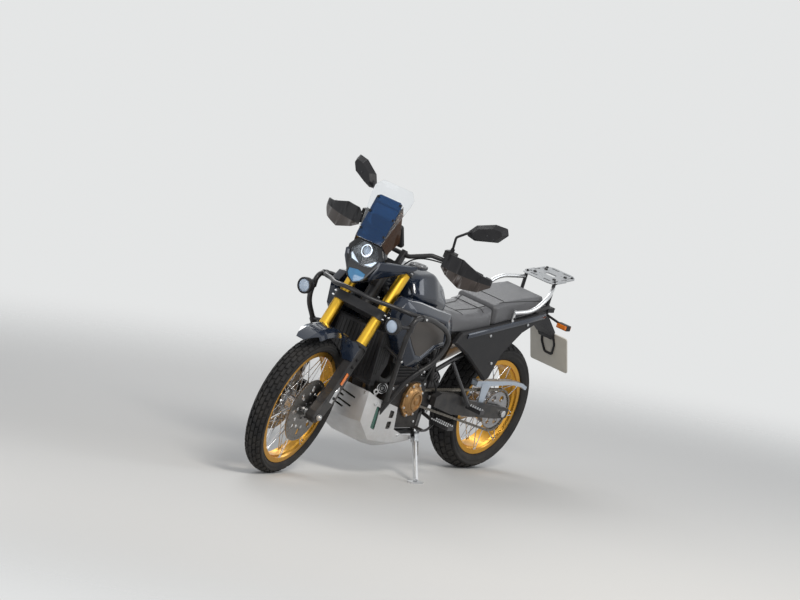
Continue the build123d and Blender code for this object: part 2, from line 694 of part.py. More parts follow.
with BuildPart() as engine_covers:
    for x, z, radius, side, depth in ((817, 415, 84, 1, 46), (800, 395, 98, -1, 44)):
        near, far = case_half + seat_gap, case_half + depth
        low, high = (near, near + 14) if side > 0 else (-near - 14, -near)
        add(cylinder_y(x, z, radius, low, high))
        low, high = (near + 10, far) if side > 0 else (-far, -near - 10)
        add(cylinder_y(x, z, radius - 14, low, high))
    chamfer(engine_covers.edges().filter_by(GeomType.CIRCLE).group_by(Axis.Y)[-1], 8)
keep("engine_covers", engine_covers.part)
print("engine")

# Exhaust: two headers, a collector under the engine and a silencer on the right
silencer_from, silencer_to = Vector(330, -214, 468), Vector(-70, -236, 583)
header_radius = 19
with BuildPart() as exhaust:
    for y in (-52, 52):
        start = Vector(1046, y, 640)
        add(rod([start, start + Vector(52, 0, -14), Vector(1080, y * 1.1, 440), Vector(1030, y, 215),
                 Vector(900, y * 0.9 - 6, 208), Vector(800, -20, 208)], header_radius, 44))
    add(rod([(820, -20, 208), (700, -30, 208), (640, -130, 216), (500, -200, 300), (330, -214, 468)], 24, 50))
    add(rod([silencer_from + Vector(30, 2, -9), silencer_to], 52))
    add(rod([silencer_to, silencer_to - Vector(34, 2, -10)], 27))
    add(engine.part, mode=Mode.SUBTRACT)
    add(frame_keep_out, mode=Mode.SUBTRACT)
keep("exhaust", exhaust.part)
print("exhaust")

# Radiator with its louvred guards
core_line = [(1168, 490), (1206, 490), (1184, 752), (1146, 752)]
with BuildPart() as radiator:
    add(slab(core_line, -150, 150, 6))
    for side in (-1, 1):
        add(rod([(1121, side * 53, 640), (1160, side * 53, 640)], 8))
    for side in (-1, 1):
        low = 150 if side > 0 else -162
        add(slab([(1130, 760), (1130, 600), (1170, 520), (1226, 520), (1238, 760)], low - 1, low + 13, 8))
    add(frame_keep_out, mode=Mode.SUBTRACT)
    add(exhaust.part, mode=Mode.SUBTRACT)
keep("radiator", radiator.part)

# Skid plate: a keeled tray with a raised front
skid_sections = [
    # x, keel z, corner z, corner half width, top z
    (640, 158, 200, 112, 212),
    (800, 152, 198, 144, 236),
    (902, 150, 196, 146, 300),
    (1075, 190, 215, 146, 405),
    (1150, 290, 300, 128, 450),
]
skid_wall = 4


def tray(inset):
    """The skid plate's outer form, or its inside when inset by the wall."""
    with BuildPart() as made:
        for x, keel, corner, half, top in skid_sections:
            with BuildSketch(Plane.YZ.offset(x)):
                w = half - inset
                Polygon(
                    (-w, corner + inset), (-w * 0.45, keel + inset), (w * 0.45, keel + inset),
                    (w, corner + inset), (w, top), (-w, top), align=None,
                )
        loft(ruled=True)
    return made.part


with BuildPart() as skid_plate:
    add(tray(0))
    with Locations(Pos(-skid_wall, 0, 0)):
        add(tray(skid_wall), mode=Mode.SUBTRACT)
    add(block((600, -200, 100), (641, 200, 500)), mode=Mode.SUBTRACT)
    add(frame_keep_out, mode=Mode.SUBTRACT)
    add(frame.part, mode=Mode.SUBTRACT)
    add(exhaust.part, mode=Mode.SUBTRACT)
keep("skid_plate", skid_plate.part)
print("skid plate")

# Fuel tank, side panels and nose
tank_sections = [
    # x, low z, low half, mid z, mid half, top z, top half
    (700, 800, 70, 842, 92, 872, 60),
    (760, 792, 104, 890, 142, 968, 92),
    (880, 800, 120, 920, 160, 1036, 112),
    (1004, 850, 120, 930, 160, 1026, 108),
    (1050, 900, 112, 940, 146, 986, 92),
]
with BuildPart() as fuel_tank:
    for x, low, low_half, mid, mid_half, top, top_half in tank_sections:
        with BuildSketch(Plane.YZ.offset(x)):
            Polygon(
                (-low_half, low), (low_half, low), (mid_half, mid), (top_half, top),
                (-top_half, top), (-mid_half, mid), align=None,
            )
    loft(ruled=True)
    add(frame_keep_out, mode=Mode.SUBTRACT)
    add(subframe_keep_out, mode=Mode.SUBTRACT)
keep("fuel_tank", fuel_tank.part)

panel_line = [(1242, 900), (1200, 945), (1085, 932), (800, 872), (768, 830), (735, 715), (850, 690),
              (990, 592), (1060, 604), (1150, 690), (1222, 770)]
panel_centre = Vector(1010, 0, 780)
with BuildPart() as panel_left:
    for y, share in ((163.3, 1.0), (214, 0.96), (244, 0.7)):
        with BuildSketch(Plane.XZ.offset(-y)):
            Polygon(*[(panel_centre.X + (x - panel_centre.X) * share, panel_centre.Z + (z - panel_centre.Z) * share)
                      for x, z in panel_line], align=None)
    loft(ruled=True)
keep("side_panels", Part() + both_sides(panel_left.part))

lamp_back, lamp_front = 1292, 1372
lamp_line = [(-62, 968), (62, 968), (86, 1040), (74, 1128), (-74, 1128), (-86, 1040)]
with BuildPart() as front_lamps:
    with BuildSketch(Plane.YZ.offset(lamp_back)):
        Polygon(*lamp_line, align=None)
    with BuildSketch(Plane(origin=(lamp_front, 0, 968), x_dir=(0, 1, 0), z_dir=(1, 0, 0.24))):
        Polygon(*[(y * 0.86, (z - 968) * 0.98) for y, z in lamp_line], align=None)
    loft(ruled=True)
    for side in (-1, 1):
        add(rod([(1312, side * 270, 831), (1352, side * 270, 831)], 39))
keep("front_lamps", front_lamps.part)

wing_sections = [
    # x, then the five corners as (y, z)
    (1346, [(70, 1000), (94, 984), (112, 1010), (104, 1100), (70, 1108)]),
    (1230, [(150, 986), (166, 962), (186, 984), (172, 1058), (150, 1066)]),
    (1095, [(172, 962), (200, 942), (236, 958), (204, 1010), (176, 1024)]),
]
with BuildPart() as wing_left:
    for x, corners in wing_sections:
        with BuildSketch(Plane.YZ.offset(x)):
            Polygon(*corners, align=None)
    loft(ruled=True)
    add(front_lamps.part, mode=Mode.SUBTRACT)
keep("nose_panels", Part() + both_sides(wing_left.part))

screen_up = Vector(-63, 0, 268).normalized()
screen_plane = Plane(origin=(1352, 0, 1150), x_dir=(0, 1, 0), z_dir=Vector(0, 1, 0).cross(screen_up))
with BuildPart() as windscreen:
    with BuildSketch(screen_plane) as screen_face:
        Polygon((-80, -14), (80, -14), (104, 60), (106, 200), (92, 282), (-92, 282), (-106, 200), (-104, 60), align=None)
        fillet(screen_face.vertices(), 12)
    extrude(amount=-4)
keep("windscreen", windscreen.part)

stay_ahead = stem_back + head_tube_radius
stay_radius = 6
with BuildPart() as dash:
    with Locations(Plane(origin=on_fork(stay_ahead + 42, 0, 705), x_dir=ahead, z_dir=up_fork)):
        Box(84 - 2 * seat_gap, 40, 50)
    add(slab([(1236, 960), (1291.7, 960), (1291.7, 1138), (1334, 1146), (1332, 1182), (1262, 1180), (1240, 1120)], -22, 22, 6))
    with Locations(Location((1214, 0, 1204), (0, -62, 0))):
        Box(118, 176, 22)
    behind = -4 - stay_radius - seat_gap
    for side in (-1, 1):
        feet = [screen_plane.from_local_coords(Vector(side * 72, up, behind)) for up in (6, 232)]
        add(rod(feet, stay_radius))
        arm = screen_plane.from_local_coords(Vector(side * 40, 70, behind))
        add(rod([arm, (1226, side * 40, 1206)], stay_radius - 2))
    for up in (22, 70, 200):
        ends = [screen_plane.from_local_coords(Vector(side * 72, up, behind)) for side in (-1, 1)]
        add(rod(ends, stay_radius - 1))
keep("dash", dash.part)
print("nose")

# Seat: a rider's pad and a raised pillion pad
rider_line = [(700, 748), (700, 846), (640, 838), (520, 826), (400, 836), (309, 864), (296.5, 778), (420, 748)]
pillion_line = [(296, 778), (308.7, 866), (300, 880), (240, 898), (60, 920), (-80, 932), (-96, 908), (-90, 860), (-60, 846), (120, 810)]
with BuildPart() as seat:
    add(slab(rider_line, -118, 118))
    add(slab(pillion_line, -122, 122))
    long_top = seat.edges().filter_by(lambda e: abs(e.center().Y) > 100 and e.center().Z > 815)
    chamfer(long_top, 14)
    add(subframe_keep_out, mode=Mode.SUBTRACT)
    add(frame_keep_out, mode=Mode.SUBTRACT)
    add(fuel_tank.part, mode=Mode.SUBTRACT)
keep("seat", seat.part)

tail_line = [(560, 752), (600, 700), (470, 640), (251, 505), (225, 520), (180, 640), (60, 752), (-110, 834),
             (-100, 862), (60, 832), (300, 790)]
with BuildPart() as tail_left:
    add(slab(tail_line, 126, 152))
    chamfer(tail_left.faces().sort_by(Axis.Y)[-1].edges(), 8)
    add(rod([(300, 106, 770), (300, 128, 770)], 8))
    add(rod([(-60, 96, 843), (-60, 128, 843)], 8))
    add(subframe_keep_out, mode=Mode.SUBTRACT)
    add(seat.part, mode=Mode.SUBTRACT)
keep("tail_panels", Part() + both_sides(tail_left.part))

rack_line = [(-150, 92), (-175, 100), (-350, 100), (-372, 70), (-372, -70), (-350, -100), (-175, -100), (-150, -92)]
rack_pcd, rack_hole, rack_plate = 110, 3.3, 6
rack_plane = Plane(origin=(-265, 0, 1002), x_dir=(1, 0, -0.13), z_dir=(0.13, 0, 1))
rack_line = [(x - rack_plane.origin.X, y) for x, y in rack_line]
with BuildPart() as rear_rack:
    with BuildSketch(rack_plane) as rack_face:
        Polygon(*rack_line, align=None)
        fillet(rack_face.vertices(), 12)
        with PolarLocations(rack_pcd / 2, 4, start_angle=45):
            Circle(rack_hole, mode=Mode.SUBTRACT)
    extrude(amount=rack_plate)
    for side in (-1, 1):
        grab = [(170, side * 140, 856), (40, side * 160, 872), (-60, side * 158, 944), (-186, side * 88, 966)]
        add(rod(grab, 10, 50))
        add(rod([(164, side * 140, 870), (164, side * 140, 800)], 8))
        add(rod([(-186, side * 86, 872), (-186, side * 86, 990.2)], 9))
    for side in (-1, 1):
        add(tail_left.part if side > 0 else mirror(tail_left.part, about=Plane.XZ), mode=Mode.SUBTRACT)
    add(subframe_keep_out, mode=Mode.SUBTRACT)
keep("rear_rack", rear_rack.part)

with BuildPart() as plate_hanger:
    add(slab([(-140, 876), (-140, 838), (-230, 790), (-372, 700), (-404, 716), (-300, 800), (-236, 876)], -46, 46, 8))
    plate_up = Vector(99, 0, 180).normalized()
    with BuildSketch(Plane(origin=(-458, 0, 618), x_dir=(0, 1, 0), z_dir=Vector(0, 1, 0).cross(plate_up) * -1)):
        RectangleRounded(230, 205, 10)
    extrude(amount=5)
    add(slab([(-372, 700), (-404, 716), (-416, 690), (-392, 680)], -40, 40))
    add(subframe_keep_out, mode=Mode.SUBTRACT)
keep("plate_hanger", plate_hanger.part)

with BuildPart() as rear_lamps:
    add(block((-318, -52, 826), (-262, 52, 850)))
    for side in (-1, 1):
        root = Vector(-236, side * 46.3, 826)
        add(rod([root, root + Vector(-28, side * 130, -30)], 6))
        with Locations(Pos(*(root + Vector(-28, side * 118, -30)))):
            Box(34, 62, 26)
    add(plate_hanger.part, mode=Mode.SUBTRACT)
keep("rear_lamps", rear_lamps.part)
print("tail")

# Crash bars and nose bars
bar_runs = [
    [(1040, 118, 300), (1004, 210, 540), (891, 262, 655), (846, 272, 755), (930, 292, 822), (1101, 312, 892),
     (1207, 300, 915), (1245, 300, 760), (1150, 232, 560), (1040, 160, 420)],
]
nose_run = [(1300, 120, 860), (1400, 190, 905), (1430, 60, 930), (1430, -60, 930), (1400, -190, 905), (1300, -120, 860)]
with BuildPart() as crash_bars:
    for run in bar_runs:
        add(rod(run, crash_radius, 30))
        add(rod(flip(run), crash_radius, 30))
    for side in (-1, 1):
        add(rod([(1230, side * 300, 832), (1300, side * 270, 831)], 10))
        add(rod([(1230, side * 300, 832), (1311.7, side * 270, 831)], 8))
    for name in ("engine", "engine_covers", "radiator", "side_panels", "front_lamps", "skid_plate"):
        add(pieces[name][0], mode=Mode.SUBTRACT)
    add(frame_keep_out, mode=Mode.SUBTRACT)
keep("crash_bars", crash_bars.part)

# Footrests, pedals and passenger footrests
with BuildPart() as footrests:
    for side in (-1, 1):
        plate_low = 76.5 if side > 0 else -96.5
        add(rod([(572, side * 60, 318), (590, side * 150, 306)], 9))
        with Locations(Pos(590, side * 206, 307)):
            Box(48, 112, 20)
        add(rod([(508, side * 108, 590), (470, side * 140, 520), (342, side * 162, 382)], 9))
        with Locations(Pos(330, side * 196, 378)):
            Box(34, 90, 20)
    add(frame_keep_out, mode=Mode.SUBTRACT)
    add(subframe_keep_out, mode=Mode.SUBTRACT)
    for name in ("swingarm", "exhaust", "tail_panels", "frame"):
        add(pieces[name][0], mode=Mode.SUBTRACT)
keep("footrests", footrests.part)

# Side stand: two cheeks on the lug, a bolt, the leg and its foot
foot_half = 26
with BuildPart() as side_stand:
    for low in (lug_half + axle_play, -lug_half - axle_play - cheek):
        with BuildSketch(stand_plane.offset(low)):
            Circle(eye_radius)
            with Locations((26, 0)):
                Rectangle(52, 2 * eye_radius - 6)
        extrude(amount=cheek)
    with BuildSketch(stand_plane.offset(-lug_half - cheek - 4)):
        Circle(pivot_bolt)
    extrude(amount=2 * (lug_half + cheek + 4))
    add(rod([stand_pivot + stand_down * 40, stand_foot + floor_up * 12], 12))
    with BuildSketch(Plane(origin=stand_foot, x_dir=(1, 0, 0), z_dir=floor_up)):
        RectangleRounded(86, 2 * foot_half, 16)
    extrude(amount=8)
    add(stand_lug, mode=Mode.SUBTRACT)
keep("side_stand", side_stand.part, "side_stand")
print("stand")

# Turn the steering, lean the bike, centre it on its own floor space and write each piece
turned = ("steering", "front_wheel")
placed = {}
for name, (shape, body) in pieces.items():
    if body in turned:
        shape = shape.rotate(steering_axis, steer_at_rest)
    placed[name] = parked * shape
boxes = [shape.bounding_box() for shape in placed.values()]
low = Vector(min(b.min.X for b in boxes), min(b.min.Y for b in boxes), min(b.min.Z for b in boxes))
high = Vector(max(b.max.X for b in boxes), max(b.max.Y for b in boxes), max(b.max.Z for b in boxes))
centring = Location((-(low.X + high.X) / 2, -(low.Y + high.Y) / 2, -low.Z))
print("size", high - low, "lowest", low.Z, "pitch", pitch_at_rest)
for name, shape in placed.items():
    shape = centring * shape
    shape.label = name
    export_step(shape, f"parts/{name}.step")
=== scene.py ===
import bpy
import json
from math import acos, atan2, cos, pi, radians, sin, sqrt
from mathutils import Matrix, Vector


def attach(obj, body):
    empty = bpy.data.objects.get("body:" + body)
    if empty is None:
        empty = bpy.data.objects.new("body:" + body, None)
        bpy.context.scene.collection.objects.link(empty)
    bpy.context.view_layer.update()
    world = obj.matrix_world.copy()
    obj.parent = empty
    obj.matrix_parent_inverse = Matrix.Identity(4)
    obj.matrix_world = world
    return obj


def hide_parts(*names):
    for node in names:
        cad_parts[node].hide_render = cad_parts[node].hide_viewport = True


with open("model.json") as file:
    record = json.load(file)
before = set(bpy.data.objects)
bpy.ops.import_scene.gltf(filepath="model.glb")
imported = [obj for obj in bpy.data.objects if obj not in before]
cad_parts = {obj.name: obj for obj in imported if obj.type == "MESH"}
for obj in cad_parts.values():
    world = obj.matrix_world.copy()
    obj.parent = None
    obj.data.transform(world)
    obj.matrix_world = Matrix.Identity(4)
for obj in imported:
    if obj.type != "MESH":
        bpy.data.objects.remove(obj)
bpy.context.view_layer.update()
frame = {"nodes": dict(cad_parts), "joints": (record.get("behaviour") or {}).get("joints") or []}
nodes = frame["nodes"]
joints = {joint["name"]: joint for joint in frame["joints"]}
print("frame loaded:", len(nodes), "nodes")

# The bike's own frame: x forward from the rear axle, y to the left, z up from the road, in metres.
# Pieces are modelled there, and then leaned (and steered, if they turn with the bars) into the row's frame.
bike = {
    "rearAxleHeight": 0.333,
    "lean": 10.0,
    "pitch": 0.09825,
    "steer": 10.0,
    "rake": 27.0,
    "wheelbase": 1.55,
    "frontRadius": 0.345,
    "axleLead": 0.040,
    "stemBack": 0.068,
}
leanTurn = Matrix.Rotation(radians(bike["pitch"]), 4, "Y") @ Matrix.Rotation(-radians(bike["lean"]), 4, "X")
rearAxleAt = Vector(joints["rear_wheel_turn"]["pos_m"])
bikeToRow = Matrix.Translation(rearAxleAt - leanTurn @ Vector((0, 0, bike["rearAxleHeight"]))) @ leanTurn
upFork = Vector((-sin(radians(bike["rake"])), 0, cos(radians(bike["rake"]))))
aheadFork = Vector((cos(radians(bike["rake"])), 0, sin(radians(bike["rake"]))))
frontAxle = Vector((bike["wheelbase"], 0, bike["frontRadius"]))
stemFoot = frontAxle - aheadFork * bike["stemBack"]
steerTurn = (
    Matrix.Translation(stemFoot)
    @ Matrix.Rotation(radians(bike["steer"]), 4, upFork)
    @ Matrix.Translation(-stemFoot)
)
steeredBodies = ("steering", "front_wheel")


def toRow(body):
    return bikeToRow @ steerTurn if body in steeredBodies else bikeToRow


# Camera and light
view = {
    "azimuth": 35.24,
    "elevation": -0.6,
    "distance": 23.51,
    "target": (0.5038, 0, 0.8106),
    "focalPixels": 4866.7,
    "riddenLean": 21.16,
    "imageWidth": 800,
    "sensor": 36.0,
}


def addCamera():
    az, el = radians(view["azimuth"]), radians(view["elevation"])
    back = Vector((cos(az) * cos(el), sin(az) * cos(el), sin(el)))
    right = (-back).cross(Vector((0, 0, 1))).normalized()
    up = right.cross(-back)
    seen = Matrix((right, up, back)).transposed().to_4x4()
    seen.translation = Vector(view["target"]) + back * view["distance"]
    upright = Matrix.Rotation(radians(view["riddenLean"]), 4, "X")
    bpy.ops.object.camera_add()
    camera = bpy.context.object
    camera.name = "photoCamera"
    camera.data.sensor_width = view["sensor"]
    camera.data.lens = view["sensor"] * view["focalPixels"] / view["imageWidth"]
    camera.data.clip_end = 200
    camera.matrix_world = bikeToRow @ upright @ seen
    bpy.context.scene.camera = camera


lamps = {
    # name: place, size, power, colour
    "keyLamp": ((2.6, 3.6, 4.6), 1.6, 190, (1.0, 0.96, 0.9)),
    "sideLamp": ((-2.6, 4.6, 3.0), 3.0, 80, (0.94, 0.97, 1.0)),
    "rimLamp": ((-3.2, -4.0, 4.6), 3.0, 110, (1.0, 1.0, 1.0)),
    "lowLamp": ((4.5, -1.5, 1.2), 2.0, 35, (1.0, 1.0, 1.0)),
}


def addLamps():
    for name, (place, size, power, colour) in lamps.items():
        bpy.ops.object.light_add(type="AREA", location=place)
        lamp = bpy.context.object
        lamp.name = name
        lamp.data.size = size
        lamp.data.energy = power
        lamp.data.color = colour
        lamp.rotation_euler = (Vector((0, 0, 0.6)) - Vector(place)).to_track_quat("-Z", "Y").to_euler()


stageLook = {
    "floorColour": (0.60, 0.59, 0.57),
    "shadeColour": (0.78, 0.79, 0.79),
    "skyColour": (0.80, 0.86, 0.95),
    "skyLight": 0.42,
    "floorSize": 14,
    "fadeFrom": 2.4,
    "fadeTo": 6.2,
}


def addStage():
    # a round floor whose edge melts into the backdrop
    bpy.ops.object.select_all(action="DESELECT")
    bpy.ops.mesh.primitive_circle_add(vertices=96, radius=stageLook["floorSize"] / 2, fill_type="NGON")
    floor = bpy.context.object
    floor.name = "floor"
    material = bpy.data.materials.new("paleFloor")
    material.use_nodes = True
    tree = material.node_tree
    shader = tree.nodes["Principled BSDF"]
    shader.inputs["Base Color"].default_value = (*stageLook["floorColour"], 1)
    shader.inputs["Roughness"].default_value = 0.85
    place = tree.nodes.new("ShaderNodeTexCoord")
    reach = tree.nodes.new("ShaderNodeVectorMath")
    reach.operation = "LENGTH"
    fade = tree.nodes.new("ShaderNodeMapRange")
    fade.interpolation_type = "SMOOTHERSTEP"
    fade.inputs["From Min"].default_value = stageLook["fadeFrom"]
    fade.inputs["From Max"].default_value = stageLook["fadeTo"]
    fade.inputs["To Min"].default_value = 1
    fade.inputs["To Max"].default_value = 0
    tree.links.new(place.outputs["Object"], reach.inputs[0])
    tree.links.new(reach.outputs["Value"], fade.inputs["Value"])
    tree.links.new(fade.outputs["Result"], shader.inputs["Alpha"])
    floor.data.materials.append(material)
    world = bpy.data.worlds.new("studio")
    bpy.context.scene.world = world
    world.use_nodes = True
    tree = world.node_tree
    tree.nodes.clear()
    out = tree.nodes.new("ShaderNodeOutputWorld")
    mixed = tree.nodes.new("ShaderNodeMixShader")
    light = tree.nodes.new("ShaderNodeBackground")
    seen = tree.nodes.new("ShaderNodeBackground")
    path = tree.nodes.new("ShaderNodeLightPath")
    light.inputs["Color"].default_value = (*stageLook["skyColour"], 1)
    light.inputs["Strength"].default_value = stageLook["skyLight"]
    seen.inputs["Color"].default_value = (*stageLook["shadeColour"], 1)
    seen.inputs["Strength"].default_value = 1.0
    direct = path.outputs["Is Camera Ray"]
    for kind in ("Is Glossy Ray", "Is Transmission Ray"):
        either = tree.nodes.new("ShaderNodeMath")
        either.operation = "MAXIMUM"
        tree.links.new(direct, either.inputs[0])
        tree.links.new(path.outputs[kind], either.inputs[1])
        direct = either.outputs[0]
    tree.links.new(direct, mixed.inputs["Fac"])
    tree.links.new(light.outputs[0], mixed.inputs[1])
    tree.links.new(seen.outputs[0], mixed.inputs[2])
    tree.links.new(mixed.outputs[0], out.inputs[0])


bpy.context.scene.view_settings.view_transform = "Standard"
addCamera()
addLamps()
addStage()
print("camera, lamps and floor placed")


# Shared shader effects


def newGroup(name, inputs, outputs):
    group = bpy.data.node_groups.new(name, "ShaderNodeTree")
    for label, kind, value in inputs:
        socket = group.interface.new_socket(name=label, in_out="INPUT", socket_type=kind)
        socket.default_value = value
    for label, kind in outputs:
        group.interface.new_socket(name=label, in_out="OUTPUT", socket_type=kind)
    return group, group.nodes.new("NodeGroupInput"), group.nodes.new("NodeGroupOutput")


def mottleGroup():
    # broad and fine cloudiness for colour and gloss
    group, given, out = newGroup(
        "mottle",
        [("Scale", "NodeSocketFloat", 20), ("Spread", "NodeSocketFloat", 0.5)],
        [("Mask", "NodeSocketFloat")],
    )
    place = group.nodes.new("ShaderNodeTexCoord")
    cloud = group.nodes.new("ShaderNodeTexNoise")
    cloud.inputs["Detail"].default_value = 6
    cloud.inputs["Roughness"].default_value = 0.62
    fit = group.nodes.new("ShaderNodeMapRange")
    low = group.nodes.new("ShaderNodeMath")
    low.operation = "SUBTRACT"
    low.inputs[0].default_value = 0.5
    high = group.nodes.new("ShaderNodeMath")
    high.operation = "ADD"
    high.inputs[0].default_value = 0.5
    half = group.nodes.new("ShaderNodeMath")
    half.operation = "MULTIPLY"
    half.inputs[1].default_value = 0.5
    links = group.links
    links.new(place.outputs["Object"], cloud.inputs["Vector"])
    links.new(given.outputs["Scale"], cloud.inputs["Scale"])
    links.new(given.outputs["Spread"], half.inputs[0])
    links.new(half.outputs[0], low.inputs[1])
    links.new(half.outputs[0], high.inputs[1])
    links.new(cloud.outputs["Fac"], fit.inputs["Value"])
    links.new(low.outputs[0], fit.inputs["From Min"])
    links.new(high.outputs[0], fit.inputs["From Max"])
    links.new(fit.outputs["Result"], out.inputs["Mask"])
    return group


def grainGroup():
    # the small height of a moulded, cast or blasted surface
    group, given, out = newGroup(
        "grain",
        [("Scale", "NodeSocketFloat", 900), ("Pitting", "NodeSocketFloat", 0.3)],
        [("Height", "NodeSocketFloat")],
    )
    place = group.nodes.new("ShaderNodeTexCoord")
    fine = group.nodes.new("ShaderNodeTexNoise")
    fine.inputs["Detail"].default_value = 3
    cells = group.nodes.new("ShaderNodeTexVoronoi")
    mixed = group.nodes.new("ShaderNodeMix")
    links = group.links
    links.new(place.outputs["Object"], fine.inputs["Vector"])
    links.new(place.outputs["Object"], cells.inputs["Vector"])
    links.new(given.outputs["Scale"], fine.inputs["Scale"])
    links.new(given.outputs["Scale"], cells.inputs["Scale"])
    links.new(given.outputs["Pitting"], mixed.inputs["Factor"])
    links.new(fine.outputs["Fac"], mixed.inputs["A"])
    links.new(cells.outputs["Distance"], mixed.inputs["B"])
    links.new(mixed.outputs["Result"], out.inputs["Height"])
    return group


def dustGroup():
    # pale road dust that lies low on the bike and in patches
    group, given, out = newGroup(
        "roadDust",
        [("Amount", "NodeSocketFloat", 0.3), ("Below", "NodeSocketFloat", 0.9)],
        [("Mask", "NodeSocketFloat")],
    )
    place = group.nodes.new("ShaderNodeTexCoord")
    apart = group.nodes.new("ShaderNodeSeparateXYZ")
    height = group.nodes.new("ShaderNodeMapRange")
    height.inputs["To Min"].default_value = 1
    height.inputs["To Max"].default_value = 0.12
    patch = group.nodes.new("ShaderNodeTexNoise")
    patch.inputs["Scale"].default_value = 9
    patch.inputs["Detail"].default_value = 8
    patch.inputs["Roughness"].default_value = 0.7
    fit = group.nodes.new("ShaderNodeMapRange")
    fit.inputs["From Min"].default_value = 0.35
    fit.inputs["From Max"].default_value = 0.75
    times = group.nodes.new("ShaderNodeMath")
    times.operation = "MULTIPLY"
    much = group.nodes.new("ShaderNodeMath")
    much.operation = "MULTIPLY"
    links = group.links
    links.new(place.outputs["Object"], apart.inputs[0])
    links.new(place.outputs["Object"], patch.inputs["Vector"])
    links.new(apart.outputs["Z"], height.inputs["Value"])
    links.new(given.outputs["Below"], height.inputs["From Max"])
    links.new(patch.outputs["Fac"], fit.inputs["Value"])
    links.new(fit.outputs["Result"], times.inputs[0])
    links.new(height.outputs["Result"], times.inputs[1])
    links.new(times.outputs[0], much.inputs[0])
    links.new(given.outputs["Amount"], much.inputs[1])
    links.new(much.outputs[0], out.inputs["Mask"])
    return group


mottle, grain, roadDust = mottleGroup(), grainGroup(), dustGroup()
dustColour = (0.42, 0.36, 0.28, 1)

